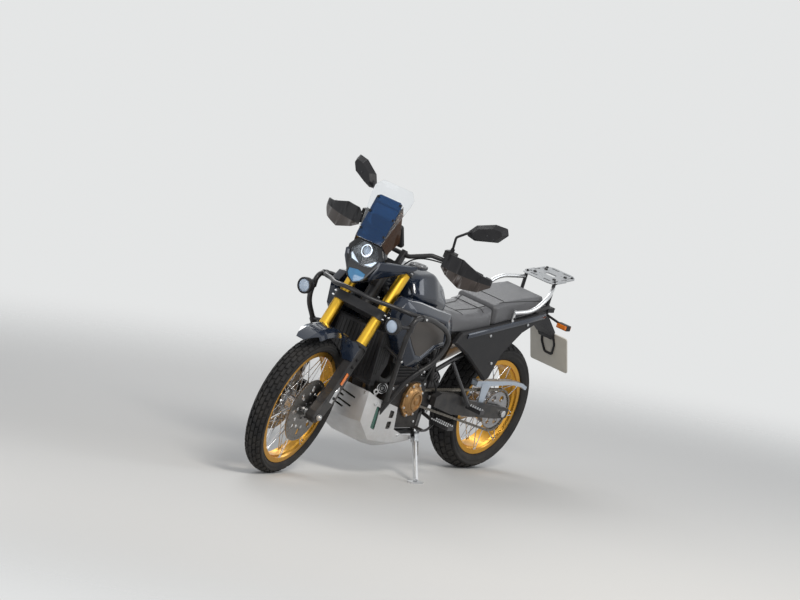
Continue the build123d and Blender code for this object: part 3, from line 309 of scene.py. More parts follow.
# Finishes: two colours that the mottle mixes, then gloss, metal, coat, grain and dust
finishes = {
    "framePaint": dict(colour=(0.016, 0.016, 0.018), second=(0.03, 0.03, 0.032), rough=0.34, grainScale=700, grainDepth=0.08, dust=0.08, gleam=0.35),
    "satinBlack": dict(colour=(0.014, 0.014, 0.016), second=(0.024, 0.024, 0.026), rough=0.42, grainScale=900, grainDepth=0.12, dust=0.04, gleam=0.28),
    "mouldedBlack": dict(colour=(0.010, 0.010, 0.012), second=(0.018, 0.018, 0.020), rough=0.46, grainScale=1300, grainDepth=0.3, pitting=0.6, dust=0.05, gleam=0.28),
    "glossBlack": dict(colour=(0.005, 0.006, 0.008), second=(0.009, 0.010, 0.013), rough=0.18, coat=0.35, gleam=0.3, grainScale=300, grainDepth=0.01, dust=0.05),
    # black bodywork paint whose dark blue is a painted sky reflection baked into the base colour
    "tankBlue": dict(colour=(0.006, 0.012, 0.026), second=(0.010, 0.018, 0.036), rough=0.2, metallic=0.1, coat=0.8,
                     mottleScale=1500, spread=0.9, grainScale=2500, grainDepth=0.01, dust=0.01, gleam=0.3),
    "panelGrey": dict(colour=(0.062, 0.055, 0.050), second=(0.078, 0.070, 0.064), rough=0.42, metallic=0.2,
                      mottleScale=900, spread=0.9, grainScale=1600, grainDepth=0.06, dust=0.06),
    # near-black matt colour that paints the shade inside the radiator cheek slots
    "deepBlack": dict(colour=(0.004, 0.004, 0.004), second=(0.006, 0.006, 0.006), rough=0.8, grainScale=600, grainDepth=0.1),
    "edgeWhite": dict(colour=(0.62, 0.63, 0.64), second=(0.5, 0.5, 0.52), rough=0.35, grainScale=900, grainDepth=0.03),
    "guardBrown": dict(colour=(0.022, 0.014, 0.011), second=(0.032, 0.021, 0.017), rough=0.36, coat=0.3,
                       grainScale=1100, grainDepth=0.12, pitting=0.5, dust=0.05),
    "orangeReflector": dict(colour=(0.95, 0.25, 0.02), second=(0.75, 0.15, 0.01), rough=0.18, coat=0.7,
                            mottleScale=600, spread=0.3, grainScale=500, grainDepth=0.25, pitting=0.9),
    "goldTube": dict(colour=(0.83, 0.52, 0.06), second=(0.72, 0.43, 0.05), rough=0.34, metallic=1.0, mottleScale=30, grainScale=1200, grainDepth=0.02),
    "goldRim": dict(colour=(0.86, 0.45, 0.05), second=(0.70, 0.34, 0.04), rough=0.26, metallic=1.0, mottleScale=40, grainScale=900, grainDepth=0.04, dust=0.2),
    "castLower": dict(colour=(0.016, 0.017, 0.020), second=(0.028, 0.029, 0.033), rough=0.38, metallic=0.2, grainScale=650, grainDepth=0.22, dust=0.22, gleam=0.35),
    "engineCast": dict(colour=(0.012, 0.012, 0.014), second=(0.022, 0.022, 0.024), rough=0.42, metallic=0.2, grainScale=520, grainDepth=0.3, dust=0.14, gleam=0.3),
    "bronzeCover": dict(colour=(0.46, 0.27, 0.11), second=(0.34, 0.19, 0.08), rough=0.36, metallic=0.85, mottleScale=60, grainScale=700, grainDepth=0.12, dust=0.25),
    "blastedAlloy": dict(colour=(0.72, 0.72, 0.73), second=(0.6, 0.6, 0.6), rough=0.46, metallic=0.75, mottleScale=14, grainScale=1500, grainDepth=0.2, pitting=0.5, dust=0.3),
    "brightAlloy": dict(colour=(0.78, 0.79, 0.8), second=(0.62, 0.63, 0.65), rough=0.28, metallic=1.0, mottleScale=50, grainScale=900, grainDepth=0.06, dust=0.15),
    "paleAlloy": dict(colour=(0.55, 0.62, 0.70), second=(0.46, 0.52, 0.6), rough=0.38, metallic=0.7, mottleScale=35, grainScale=900, grainDepth=0.08, dust=0.2),
    "darkAlloy": dict(colour=(0.07, 0.07, 0.075), second=(0.11, 0.11, 0.115), rough=0.32, metallic=0.8, grainScale=800, grainDepth=0.08, dust=0.1),
    "groundSteel": dict(colour=(0.5, 0.5, 0.51), second=(0.3, 0.3, 0.31), rough=0.28, metallic=1.0, mottleScale=90, grainScale=1800, grainDepth=0.1, dust=0.1),
    "darkDisc": dict(colour=(0.16, 0.155, 0.15), second=(0.3, 0.29, 0.28), rough=0.3, metallic=1.0, mottleScale=70, grainScale=1800, grainDepth=0.1, dust=0.15),
    "chainSteel": dict(colour=(0.3, 0.28, 0.25), second=(0.16, 0.15, 0.13), rough=0.36, metallic=1.0, mottleScale=160, grainScale=1500, grainDepth=0.1, dust=0.2),
    "spokeSteel": dict(colour=(0.72, 0.73, 0.75), second=(0.55, 0.56, 0.58), rough=0.22, metallic=1.0, mottleScale=80, grainScale=900, grainDepth=0.03, dust=0.1),
    "exhaustSteel": dict(colour=(0.42, 0.39, 0.36), second=(0.28, 0.24, 0.2), rough=0.34, metallic=1.0, mottleScale=16, grainScale=1100, grainDepth=0.08, dust=0.25),
    "tyreRubber": dict(colour=(0.010, 0.010, 0.011), second=(0.020, 0.020, 0.021), rough=0.7, mottleScale=30, grainScale=700, grainDepth=0.35, dust=0.09, gleam=0.25),
    "gripRubber": dict(colour=(0.014, 0.014, 0.014), second=(0.024, 0.024, 0.024), rough=0.7, grainScale=1500, grainDepth=0.4),
    "seatVinyl": dict(colour=(0.075, 0.075, 0.08), second=(0.10, 0.10, 0.105), rough=0.36, mottleScale=60, grainScale=850, grainDepth=0.45, pitting=0.9, sheen=0.2),
    "plateBlank": dict(colour=(0.62, 0.59, 0.52), second=(0.52, 0.49, 0.43), rough=0.35, mottleScale=12, grainScale=500, grainDepth=0.05, dust=0.35),
    "redLens": dict(colour=(0.42, 0.01, 0.012), second=(0.3, 0.008, 0.01), rough=0.12, coat=0.8, grainScale=200, grainDepth=0.02),
    "amberLens": dict(colour=(0.85, 0.24, 0.02), second=(0.7, 0.16, 0.01), rough=0.16, coat=0.6, grainScale=300, grainDepth=0.1),
    "whiteLens": dict(colour=(0.85, 0.87, 0.88), second=(0.7, 0.72, 0.74), rough=0.14, coat=0.8, mottleScale=60, grainScale=240, grainDepth=0.1),
    "blueLens": dict(colour=(0.02, 0.14, 0.32), second=(0.04, 0.24, 0.46), rough=0.1, coat=1.0, mottleScale=25, grainScale=200, grainDepth=0.02),
    "greenLens": dict(colour=(0.02, 0.12, 0.085), second=(0.01, 0.07, 0.05), rough=0.12, coat=0.8, mottleScale=30, grainScale=200, grainDepth=0.02),
    "rackSilver": dict(colour=(0.46, 0.47, 0.48), second=(0.36, 0.37, 0.38), rough=0.4, metallic=0.6, mottleScale=14,
                       grainScale=1500, grainDepth=0.12, dust=0.08),
    "chromeSilver": dict(colour=(0.85, 0.86, 0.88), second=(0.74, 0.75, 0.78), rough=0.1, metallic=1.0, mottleScale=40, grainScale=500, grainDepth=0.02),
    "displayGlass": dict(colour=(0.012, 0.014, 0.018), second=(0.02, 0.022, 0.026), rough=0.08, coat=1.0, grainScale=200, grainDepth=0.005),
}


def makeFinish(name, colour, second, rough, metallic=0.0, coat=0.0, mottleScale=22, spread=0.6,
               grainScale=900, grainDepth=0.1, pitting=0.3, dust=0.0, sheen=0.0, gleam=0.5):
    material = bpy.data.materials.new(name)
    material.use_nodes = True
    tree = material.node_tree
    shader = tree.nodes["Principled BSDF"]
    shader.inputs["Metallic"].default_value = metallic
    shader.inputs["Coat Weight"].default_value = coat
    shader.inputs["Coat Roughness"].default_value = 0.06
    shader.inputs["Sheen Weight"].default_value = sheen
    shader.inputs["Specular IOR Level"].default_value = gleam
    cloud = tree.nodes.new("ShaderNodeGroup")
    cloud.node_tree = mottle
    cloud.inputs["Scale"].default_value = mottleScale
    cloud.inputs["Spread"].default_value = spread
    paint = tree.nodes.new("ShaderNodeMix")
    paint.data_type = "RGBA"
    paint.inputs["A"].default_value = (*colour, 1)
    paint.inputs["B"].default_value = (*second, 1)
    tree.links.new(cloud.outputs["Mask"], paint.inputs["Factor"])
    gloss = tree.nodes.new("ShaderNodeMapRange")
    gloss.inputs["To Min"].default_value = rough * 0.85
    gloss.inputs["To Max"].default_value = min(1, rough * 1.2)
    tree.links.new(cloud.outputs["Mask"], gloss.inputs["Value"])
    colourOut, roughOut = paint.outputs["Result"], gloss.outputs["Result"]
    if dust:
        veil = tree.nodes.new("ShaderNodeGroup")
        veil.node_tree = roadDust
        veil.inputs["Amount"].default_value = dust
        dusty = tree.nodes.new("ShaderNodeMix")
        dusty.data_type = "RGBA"
        dusty.inputs["B"].default_value = dustColour
        dull = tree.nodes.new("ShaderNodeMix")
        dull.inputs["B"].default_value = 0.9
        tree.links.new(veil.outputs["Mask"], dusty.inputs["Factor"])
        tree.links.new(veil.outputs["Mask"], dull.inputs["Factor"])
        tree.links.new(colourOut, dusty.inputs["A"])
        tree.links.new(roughOut, dull.inputs["A"])
        colourOut, roughOut = dusty.outputs["Result"], dull.outputs["Result"]
    tree.links.new(colourOut, shader.inputs["Base Color"])
    tree.links.new(roughOut, shader.inputs["Roughness"])
    surface = tree.nodes.new("ShaderNodeGroup")
    surface.node_tree = grain
    surface.inputs["Scale"].default_value = grainScale
    surface.inputs["Pitting"].default_value = pitting
    relief = tree.nodes.new("ShaderNodeBump")
    relief.inputs["Strength"].default_value = grainDepth
    relief.inputs["Distance"].default_value = 0.0006
    tree.links.new(surface.outputs["Height"], relief.inputs["Height"])
    tree.links.new(relief.outputs["Normal"], shader.inputs["Normal"])
    return material


materials = {name: makeFinish(name, **finish) for name, finish in finishes.items()}


def makeGlass(name, tint, rough, weight, dust=0.0):
    material = makeFinish(name, tint, tint, rough, coat=0.3, grainScale=60, grainDepth=0.004, dust=dust)
    shader = material.node_tree.nodes["Principled BSDF"]
    shader.inputs["Transmission Weight"].default_value = weight
    shader.inputs["IOR"].default_value = 1.2
    return material



materials["screenTint"] = makeGlass("screenTint", (0.02, 0.075, 0.20), 0.05, 0.55)
materials["clearScreen"] = makeGlass("clearScreen", (0.93, 0.95, 0.97), 0.03, 0.96)
materials["lampLens"] = makeGlass("lampLens", (0.85, 0.9, 0.95), 0.03, 0.97)
materials["brownScreen"] = makeGlass("brownScreen", (0.10, 0.055, 0.035), 0.08, 0.6)
materials["projectorGlass"] = makeGlass("projectorGlass", (0.55, 0.62, 0.72), 0.03, 0.5)
materials["fogGlass"] = makeGlass("fogGlass", (0.62, 0.72, 0.85), 0.06, 0.35)
materials["dayGlow"] = makeFinish("dayGlow", (0.9, 0.93, 0.97), (0.8, 0.84, 0.9), 0.2, coat=0.6, mottleScale=80,
                                  grainScale=300, grainDepth=0.1)
glowing = materials["dayGlow"].node_tree.nodes["Principled BSDF"]
glowing.inputs["Emission Color"].default_value = (0.85, 0.93, 1.0, 1)
glowing.inputs["Emission Strength"].default_value = 0.5
print("materials:", len(materials))

# What the carried-over solids wear
cadFinish = {
    "frame": "framePaint", "subframe": "framePaint", "swingarm": "castLower", "rear_axle": "brightAlloy",
    "rear_caliper": "castLower", "shock_absorber": "darkAlloy", "chain": "chainSteel", "chain_guard": "paleAlloy",
    "engine": "engineCast", "engine_covers": "bronzeCover", "exhaust": "exhaustSteel", "radiator": "mouldedBlack",
    "skid_plate": "blastedAlloy", "fuel_tank": "tankBlue", "side_panels": "panelGrey",
    "nose_panels": "tankBlue", "front_lamps": "glossBlack", "windscreen": "screenTint", "dash": "satinBlack",
    "seat": "seatVinyl", "tail_panels": "mouldedBlack", "rear_rack": "blastedAlloy", "plate_hanger": "mouldedBlack",
    "rear_lamps": "mouldedBlack", "crash_bars": "framePaint", "footrests": "darkAlloy",
    "side_stand": "brightAlloy", "yokes": "castLower", "fork_tubes": "goldTube", "fork_lowers": "castLower",
    "front_axle": "brightAlloy", "front_calipers": "castLower", "front_mudguard": "tankBlue",
    "handlebar": "framePaint", "hand_controls": "gripRubber", "handguards": "mouldedBlack",
    "mirrors": "mouldedBlack", "front_tyre": "tyreRubber", "rear_tyre": "tyreRubber", "front_rim": "goldRim",
    "rear_rim": "goldRim", "front_hub": "spokeSteel", "rear_hub": "spokeSteel", "front_discs": "darkDisc",
    "rear_disc_and_sprocket": "groundSteel",
}


def dress(node, finish):
    node.data.materials.clear()
    node.data.materials.append(materials[finish])


for name, finish in cadFinish.items():
    dress(nodes[name], finish)
print("solids dressed")

# Modelling helpers. Measures are millimetres in the bike's own frame until a piece is settled.


def spot(x, y, z):
    return Vector((x, y, z)) * 0.001


def onFork(x, y, z):
    # ahead of, beside and up the fork from the front axle
    return tuple((frontAxle + aheadFork * x * 0.001 + Vector((0, y * 0.001, 0)) + upFork * z * 0.001) * 1000)


def both(rows):
    return [rows, [tuple((x, -y, z)) for x, y, z in rows]]


def clearSelection():
    if bpy.context.object and bpy.context.object.mode != "OBJECT":
        bpy.ops.object.mode_set(mode="OBJECT")
    bpy.ops.object.select_all(action="DESELECT")


def skin(rows, closed=True, capped=True):
    # a grid whose rows of points are laid on the given sections
    clearSelection()
    count = len(rows[0])
    across = count if closed else count - 1
    bpy.ops.mesh.primitive_grid_add(x_subdivisions=across, y_subdivisions=len(rows) - 1, size=1)
    piece = bpy.context.object
    for k, vertex in enumerate(piece.data.vertices):
        row, column = divmod(k, across + 1)
        vertex.co = spot(*rows[row][column % count])
    bpy.ops.object.mode_set(mode="EDIT")
    bpy.ops.mesh.select_all(action="SELECT")
    bpy.ops.mesh.remove_doubles(threshold=1e-6)
    if capped:
        bpy.ops.mesh.fill_holes(sides=0)
    bpy.ops.mesh.normals_make_consistent(inside=False)
    bpy.ops.object.mode_set(mode="OBJECT")
    return piece


def sheetOf(outline, normal, wall):
    # a flat plate: an outline of points, pushed along its normal
    normal = Vector(normal).normalized() * wall
    far = [tuple(Vector(p) + normal) for p in outline]
    return skin([outline, far])


def soften(width, segments=3, angle=30):
    # rounds the edges of the piece in hand
    piece = bpy.context.object
    round_ = piece.modifiers.new("roundEdges", "BEVEL")
    round_.width = width * 0.001
    round_.segments = segments
    round_.limit_method = "ANGLE"
    round_.angle_limit = radians(angle)
    bpy.ops.object.modifier_apply(modifier=round_.name)
    return piece


def divide(levels):
    piece = bpy.context.object
    fine = piece.modifiers.new("divide", "SUBSURF")
    fine.levels = levels
    fine.render_levels = levels
    bpy.ops.object.modifier_apply(modifier=fine.name)
    return piece


def joinAll(made):
    clearSelection()
    for piece in made:
        piece.select_set(True)
    bpy.context.view_layer.objects.active = made[0]
    if len(made) > 1:
        bpy.ops.object.join()
    return bpy.context.object


def settle(name, finish, body="chassis", angle=35, instead=()):
    # names the piece in hand, puts it where the parked bike has it and lets it ride on its body
    piece = bpy.context.object
    piece.name = name
    piece.data.name = name
    piece.matrix_world = toRow(body) @ piece.matrix_world
    bpy.ops.object.select_all(action="DESELECT")
    piece.select_set(True)
    bpy.ops.object.transform_apply(location=True, rotation=True, scale=True)
    if angle:
        bpy.ops.object.shade_smooth_by_angle(angle=radians(angle))
    for label in (finish if isinstance(finish, tuple) else (finish,)):
        piece.data.materials.append(materials[label])
    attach(piece, body)
    if instead:
        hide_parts(*instead)
    return piece


def facing(direction):
    return Vector(direction).to_track_quat("Z", "Y").to_matrix().to_4x4()


def knob(profile, place, direction, sides=32):
    # a turned form: (radius, height) points spun about an axis at a place
    rows = [[(r * cos(2 * pi * k / sides), r * sin(2 * pi * k / sides), h) for k in range(sides)] for r, h in profile]
    piece = skin(rows)
    piece.data.transform(Matrix.Translation(spot(*place)) @ facing(direction))
    return piece


def boltHead(radius, sides=16):
    # a flanged head with a sunk socket
    clearSelection()
    bpy.ops.mesh.primitive_cylinder_add(vertices=sides, radius=radius * 0.001, depth=radius * 0.0008)
    head = bpy.context.object
    bpy.ops.object.mode_set(mode="EDIT")
    bpy.ops.mesh.select_all(action="DESELECT")
    bpy.ops.object.mode_set(mode="OBJECT")
    for face in head.data.polygons:
        face.select = face.normal.z > 0.9
    bpy.ops.object.mode_set(mode="EDIT")
    bpy.ops.mesh.inset(thickness=radius * 0.00018)
    bpy.ops.transform.translate(value=(0, 0, radius * 0.0002))
    bpy.ops.mesh.inset(thickness=radius * 0.0003)
    bpy.ops.mesh.inset(thickness=radius * 0.00004, depth=-radius * 0.0005)
    bpy.ops.object.mode_set(mode="OBJECT")
    return head


def bolts(name, finish, spots, radius, body="chassis"):
    # spots: place and the way the head looks
    head = boltHead(radius)
    made = []
    for place, direction in spots:
        copied = head.copy()
        copied.data = head.data.copy()
        bpy.context.collection.objects.link(copied)
        copied.data.transform(Matrix.Translation(spot(*place)) @ facing(direction))
        made.append(copied)
    bpy.data.objects.remove(head)
    joinAll(made)
    return settle(name, finish, body)


def hose(points, radius, name, finish, body="chassis"):
    # a clipped line or round bar along a smooth run
    clearSelection()
    bpy.ops.curve.primitive_nurbs_path_add()
    run = bpy.context.object
    run.data.splines.clear()
    spline = run.data.splines.new("NURBS")
    spline.points.add(len(points) - 1)
    for dot, point in zip(spline.points, points):
        dot.co = (*spot(*point), 1)
    spline.order_u = 4
    spline.use_endpoint_u = True
    spline.resolution_u = 8
    run.data.bevel_depth = radius * 0.001
    run.data.bevel_resolution = 4
    run.data.use_fill_caps = True
    run.matrix_world = Matrix.Identity(4)
    bpy.ops.object.convert(target="MESH")
    return settle(name, finish, body)


def bent(points, reach, steps=6):
    # straight runs whose corners are turned into even bends
    route = [Vector(points[0])]
    for before, corner, after in zip(points, points[1:], points[2:]):
        corner, before, after = Vector(corner), Vector(before), Vector(after)
        near = corner + (before - corner).normalized() * min(reach, (before - corner).length * 0.45)
        past = corner + (after - corner).normalized() * min(reach, (after - corner).length * 0.45)
        for k in range(steps + 1):
            t = k / steps
            route.append(near * (1 - t) ** 2 + corner * 2 * t * (1 - t) + past * t ** 2)
    return route + [Vector(points[-1])]


def bar(points, radius, reach=40):
    # a round bar in hand, not yet settled
    clearSelection()
    bpy.ops.curve.primitive_nurbs_path_add()
    run = bpy.context.object
    run.data.splines.clear()
    route = bent(points, reach) if len(points) > 2 else [Vector(p) for p in points]
    spline = run.data.splines.new("POLY")
    spline.points.add(len(route) - 1)
    for dot, point in zip(spline.points, route):
        dot.co = (*(point * 0.001), 1)
    run.data.bevel_depth = radius * 0.001
    run.data.bevel_resolution = 5
    run.data.use_fill_caps = True
    bpy.ops.object.convert(target="MESH")
    return bpy.context.object


def cutBy(piece, cutters):
    # takes the cutters' shapes out of a piece
    cutter = joinAll(cutters)
    clearSelection()
    bpy.context.view_layer.objects.active = piece
    piece.select_set(True)
    cut = piece.modifiers.new("cut", "BOOLEAN")
    cut.object = cutter
    cut.solver = "EXACT"
    bpy.ops.object.modifier_apply(modifier=cut.name)
    bpy.data.objects.remove(cutter)
    return piece


def prism(points, low, high, axis):
    # an outline of (u, v) points pushed along an axis: across the bike, along it or up it
    lay = {"y": lambda u, v, w: (u, w, v), "x": lambda u, v, w: (w, u, v), "z": lambda u, v, w: (u, v, w)}[axis]
    return skin([[lay(u, v, w) for u, v in points] for w in (low, high)])


def roundedBox(long, wide, corner, steps=5):
    # the corner points of a rounded rectangle
    points = []
    for cx, cy, start in ((1, 1, 0), (-1, 1, 90), (-1, -1, 180), (1, -1, 270)):
        for k in range(steps + 1):
            turn = radians(start + 90 * k / steps)
            points.append((cx * (long / 2 - corner) + corner * cos(turn), cy * (wide / 2 - corner) + corner * sin(turn)))
    return points


# Tyres: a ribbed carcass with bevelled tread blocks, all round the wheel
tyres = {
    # name: node, body, axle (x, z), radius, half width, rim flange radius, rim half, pitches, rows, gap
    "frontTyre": ("front_tyre", "front_wheel", (1550, 345), 345, 47, 283, 34, 48, [(0, 8.5), (13, 25), (30, 40.4)], 9),
    "rearTyre": ("rear_tyre", "rear_wheel", (0, 333), 333, 75, 246, 57, 42, [(0, 13), (20, 39), (46, 64.5)], 10),
}
treadDepth = 8


def makeTyre(name, node, body, axle, radius, half, flange, rimHalf, pitches, rows, gap):
    shoulder, drop = half * 0.86, half * 0.34
    crown = (shoulder**2 + drop**2) / (2 * drop)
    inside, low = rimHalf - 5.3, flange + 1

    def tread(y, sunk=0.0):
        return radius - crown + sqrt(crown**2 - y**2) - sunk

    def wall(share, y):
        return low + share * (radius - low), y

    side = [(tread(y, treadDepth), y) for y in (0, rows[0][1], rows[1][0], rows[1][1], rows[2][0])]
    side += [(tread(rows[2][1], treadDepth + 1), rows[2][1] - 1), (radius - drop - 9, half * 0.965)]
    side += [wall(0.56, half * 0.99), wall(0.53, half + 0.9), wall(0.5, half + 0.9), wall(0.47, half * 0.995)]
    side += [wall(0.34, half * 0.97), wall(0.31, half * 0.98), wall(0.28, half * 0.97)]
    side += [wall(0.18, inside + 0.78 * (half - inside)), (low + 6, inside + 0.55 * (half - inside))]
    side += [(low + 2, inside + 0.25 * (half - inside)), (low, inside), (flange - 12, inside)]
    ring = side + [(r, -y) for r, y in reversed(side[1:])]
    steps = 120
    around = []
    for k in range(steps + 1):
        turn = 2 * pi * (k % steps) / steps
        around.append([(r * cos(turn), y, r * sin(turn)) for r, y in ring])
    made = [skin(around, capped=False)]

    def block(yFrom, yTo, shift, reach, lean):
        rings = []
        for sunk, spread in ((treadDepth + 1.5, 1.25), (1.2, 1.0), (0, 0.9)):
            corners = []
            for y, end in ((yFrom, -1), (yTo, -1), (yTo, 1), (yFrom, 1)):
                middle = (yFrom + yTo) / 2
                y = middle + (y - middle) * (1 if sunk > 1 else 0.93)
                turn = shift + (end * reach * spread + lean * (y - middle)) / radius
                r = tread(min(abs(y), shoulder), sunk)
                corners.append((r * cos(turn), y, r * sin(turn)))
            rings.append(corners)
        return skin(rings)

    pitch = 2 * pi / pitches
    reach = (pitch * radius - gap * 1.3) / 2
    pattern = [block(-rows[0][1], rows[0][1], 0, reach, 0.25)]
    for number, (yFrom, yTo) in enumerate(rows[1:], 1):
        for sign in (1, -1):
            shift = pitch * 0.5 * (number % 2) + sign * 0.12 * pitch
            pattern.append(block(sign * yFrom, sign * yTo, shift, reach * (1 if number == 1 else 0.86), 0.25 * sign))
    cell = joinAll(pattern)
    for k in range(pitches):
        copied = cell.copy()
        copied.data = cell.data.copy()
        bpy.context.collection.objects.link(copied)
        copied.data.transform(Matrix.Rotation(-pitch * k, 4, "Y"))
        made.append(copied)
    bpy.data.objects.remove(cell)
    tyre = joinAll(made)
    tyre.data.transform(Matrix.Translation(spot(axle[0], 0, axle[1])))
    settle(name, "tyreRubber", body, 28, (node,))


for name, numbers in tyres.items():
    makeTyre(name, *numbers)
print("tyres")

# Chain: dog-bone plates in pairs on pins, running round both sprockets
chain = {
    "front": (645, 400, 41),
    "rear": (0, 333, 106),
    "y": 92,
    "links": 108,
    "pin": 2.6,
    "roller": 5.0,
}


def chainRun():
    # the pin places along the hull of the two pitch circles
    (fx, fz, fr), (rx, rz, rr) = chain["front"], chain["rear"]
    span = sqrt((fx - rx) ** 2 + (fz - rz) ** 2)
    along = atan2(fz - rz, fx - rx)
    open_ = acos((rr - fr) / span)
    straight = sqrt(span**2 - (rr - fr) ** 2)
    parts = [
        ("arc", fx, fz, fr, along - open_, along + open_),
        ("run", fx + fr * cos(along + open_), fz + fr * sin(along + open_),
         rx + rr * cos(along + open_), rz + rr * sin(along + open_), straight),
        ("arc", rx, rz, rr, along + open_, along - open_ + 2 * pi),
        ("run", rx + rr * cos(along - open_), rz + rr * sin(along - open_),
         fx + fr * cos(along - open_), fz + fr * sin(along - open_), straight),
    ]
    lengths = [p[3] * (p[5] - p[4]) if p[0] == "arc" else p[5] for p in parts]
    total = sum(lengths)
    places = []
    for k in range(chain["links"]):
        left = total * k / chain["links"]
        for p, length in zip(parts, lengths):
            if left <= length:
                break
            left -= length
        if p[0] == "arc":
            turn = p[4] + left / p[3]
            places.append((p[1] + p[3] * cos(turn), p[2] + p[3] * sin(turn)))
        else:
            t = left / p[5]
            places.append((p[1] + (p[3] - p[1]) * t, p[2] + (p[4] - p[2]) * t))
    return places


def makeChain():
    places = chainRun()
    pitch = (Vector(places[1]) - Vector(places[0])).length
    outline = []
    for cx, start in ((pitch, -60), (0, 120)):
        for k in range(5):
            turn = radians(start + 30 * k)
            outline.append((cx + 7 * cos(turn), 7 * sin(turn)))
        outline.append((pitch / 2, 4.6 if cx else -4.6))
    plate = skin([[(x, y, z) for x, z in outline] for y in (-0.9, 0.9)])
    pin = knob([(chain["pin"], -8), (chain["pin"], 8)], (0, 0, 0), (0, 1, 0), 8)
    roller = knob([(chain["roller"], -4), (chain["roller"], 4)], (0, 0, 0), (0, 1, 0), 10)
    made = []

    def put(source, x, y, z, turn):
        copied = source.copy()
        copied.data = source.data.copy()
        bpy.context.collection.objects.link(copied)
        copied.data.transform(Matrix.Translation(spot(x, y, z)) @ Matrix.Rotation(-turn, 4, "Y"))
        made.append(copied)

    for k, (x, z) in enumerate(places):
        nextX, nextZ = places[(k + 1) % len(places)]
        turn = atan2(nextZ - z, nextX - x)
        for side in (1, -1):
            put(plate, x, chain["y"] + side * (6.6 if k % 2 else 4.8), z, turn)
        put(pin, x, chain["y"], z, turn)
        put(roller, x, chain["y"], z, turn)
    for source in (plate, pin, roller):
        bpy.data.objects.remove(source)
    joinAll(made)
    settle("driveChain", "chainSteel", angle=40, instead=("chain",))


makeChain()
print("chain")

# Skid plate: a keeled tray with slots in its front and windows in its sides
skid = {
    # x, keel z, corner z, corner half width, top z
    "sections": [(642, 158, 200, 112, 212), (800, 152, 198, 144, 236), (882, 150, 196, 146, 262),
                 (906, 150, 196, 146, 376), (1000, 168, 205, 146, 400), (1075, 190, 215, 146, 418),
                 (1150, 290, 300, 128, 450)],
    "wall": 4,
    "frontSlots": [(-92, 412, 150), (-92, 388, 84), (-92, 364, 140), (-92, 340, 96)],
    "slotHeight": 9,
    "windows": [[(920, 266), (956, 266), (956, 304), (920, 304)], [(920, 320), (956, 322), (956, 362), (920, 354)],
                [(1042, 262), (1080, 274), (1078, 384), (1046, 374)]],
}


def makeSkidPlate():
    rows = []
    for x, keel, corner, half, top in skid["sections"]:
        rows.append([(x, half, top), (x, half, corner), (x, half * 0.45, keel),
                     (x, -half * 0.45, keel), (x, -half, corner), (x, -half, top)])
    x, keel, corner, half, top = skid["sections"][-1]
    plate = skin(rows, closed=False, capped=False)
    bpy.ops.object.mode_set(mode="EDIT")
    bpy.ops.mesh.select_all(action="DESELECT")
    bpy.ops.mesh.select_mode(type="VERT")
    bpy.ops.object.mode_set(mode="OBJECT")
    for vertex in plate.data.vertices:
        vertex.select = vertex.co.x > (x - 1) * 0.001
    bpy.ops.object.mode_set(mode="EDIT")
    bpy.ops.mesh.edge_face_add()
    bpy.ops.mesh.select_all(action="SELECT")
    bpy.ops.mesh.normals_make_consistent(inside=False)
    bpy.ops.object.mode_set(mode="OBJECT")
    wall = plate.modifiers.new("wall", "SOLIDIFY")
    wall.thickness = skid["wall"] * 0.001
    wall.offset = -1
    bpy.ops.object.modifier_apply(modifier=wall.name)
    soften(3, 3, 12)
    cutters = []
    for y, z, long in skid["frontSlots"]:
        rise = skid["slotHeight"]
        outline = [(y, z), (y + long, z - long * 0.16), (y + long + 3, z - long * 0.16 + rise), (y + 3, z + rise)]
        cutters.append(prism(outline, 1120, 1180, "x"))
    for outline in skid["windows"]:
        for side in (1, -1):
            cutters.append(prism(outline, side * 144 - 26, side * 144 + 26, "y"))
            bpy.ops.object.mode_set(mode="EDIT")
            bpy.ops.mesh.bevel(offset=0.006, segments=3, affect="EDGES")
            bpy.ops.object.mode_set(mode="OBJECT")
    plate = cutBy(plate, cutters)
    bpy.context.view_layer.objects.active = plate
    settle("skidPlate", "blastedAlloy", angle=30, instead=("skid_plate",))
    glass = []
    for side in (1, -1):
        window = skid["windows"][2]
        glass.append(prism(window, side * 138, side * 140, "y"))
    joinAll(glass)
    settle("skidTint", "greenLens")
    rings = []
    for side in (1, -1):
        rings.append(knob([(7, -3), (7, 3), (13, 3), (14, 2), (14, -2), (13, -3), (7, -3)], (1104, side * 132, 452), (0.5, side, 0), 28))
        rings.append(skin([[(x, side * y, z) for x, z in ((1090, 398), (1122, 398), (1114, 440), (1096, 440))] for y in (131, 135)]))
        soften(1.5, 2)
    joinAll(rings)
    settle("skidEyelets", "blastedAlloy")
    spots = [((x, side * (half + 1), z), (0, side, 0)) for side in (1, -1)
             for x, half, z in ((700, 125, 208), (838, 145, 232), (1094, 143, 392), (1000, 146, 384))]
    spots += [((1151, y, 438), (1, 0, 0)) for y in (-104, 104)]
    bolts("skidBolts", "brightAlloy", spots, 7)


makeSkidPlate()
print("skid plate")

# Radiator: upright louvres before a finned core, between two cheeks whose slots are painted shade
louvres = {
    "count": 13,
    "pitch": 21,
    "thick": 7,
    "line": [(1188, 506), (1207.5, 510), (1188.5, 734), (1168, 738)],
    "cheek": [(1146, 640, 744), (1162, 600, 744), (1178, 572, 744), (1194, 550, 744), (1210, 550, 744)],
}


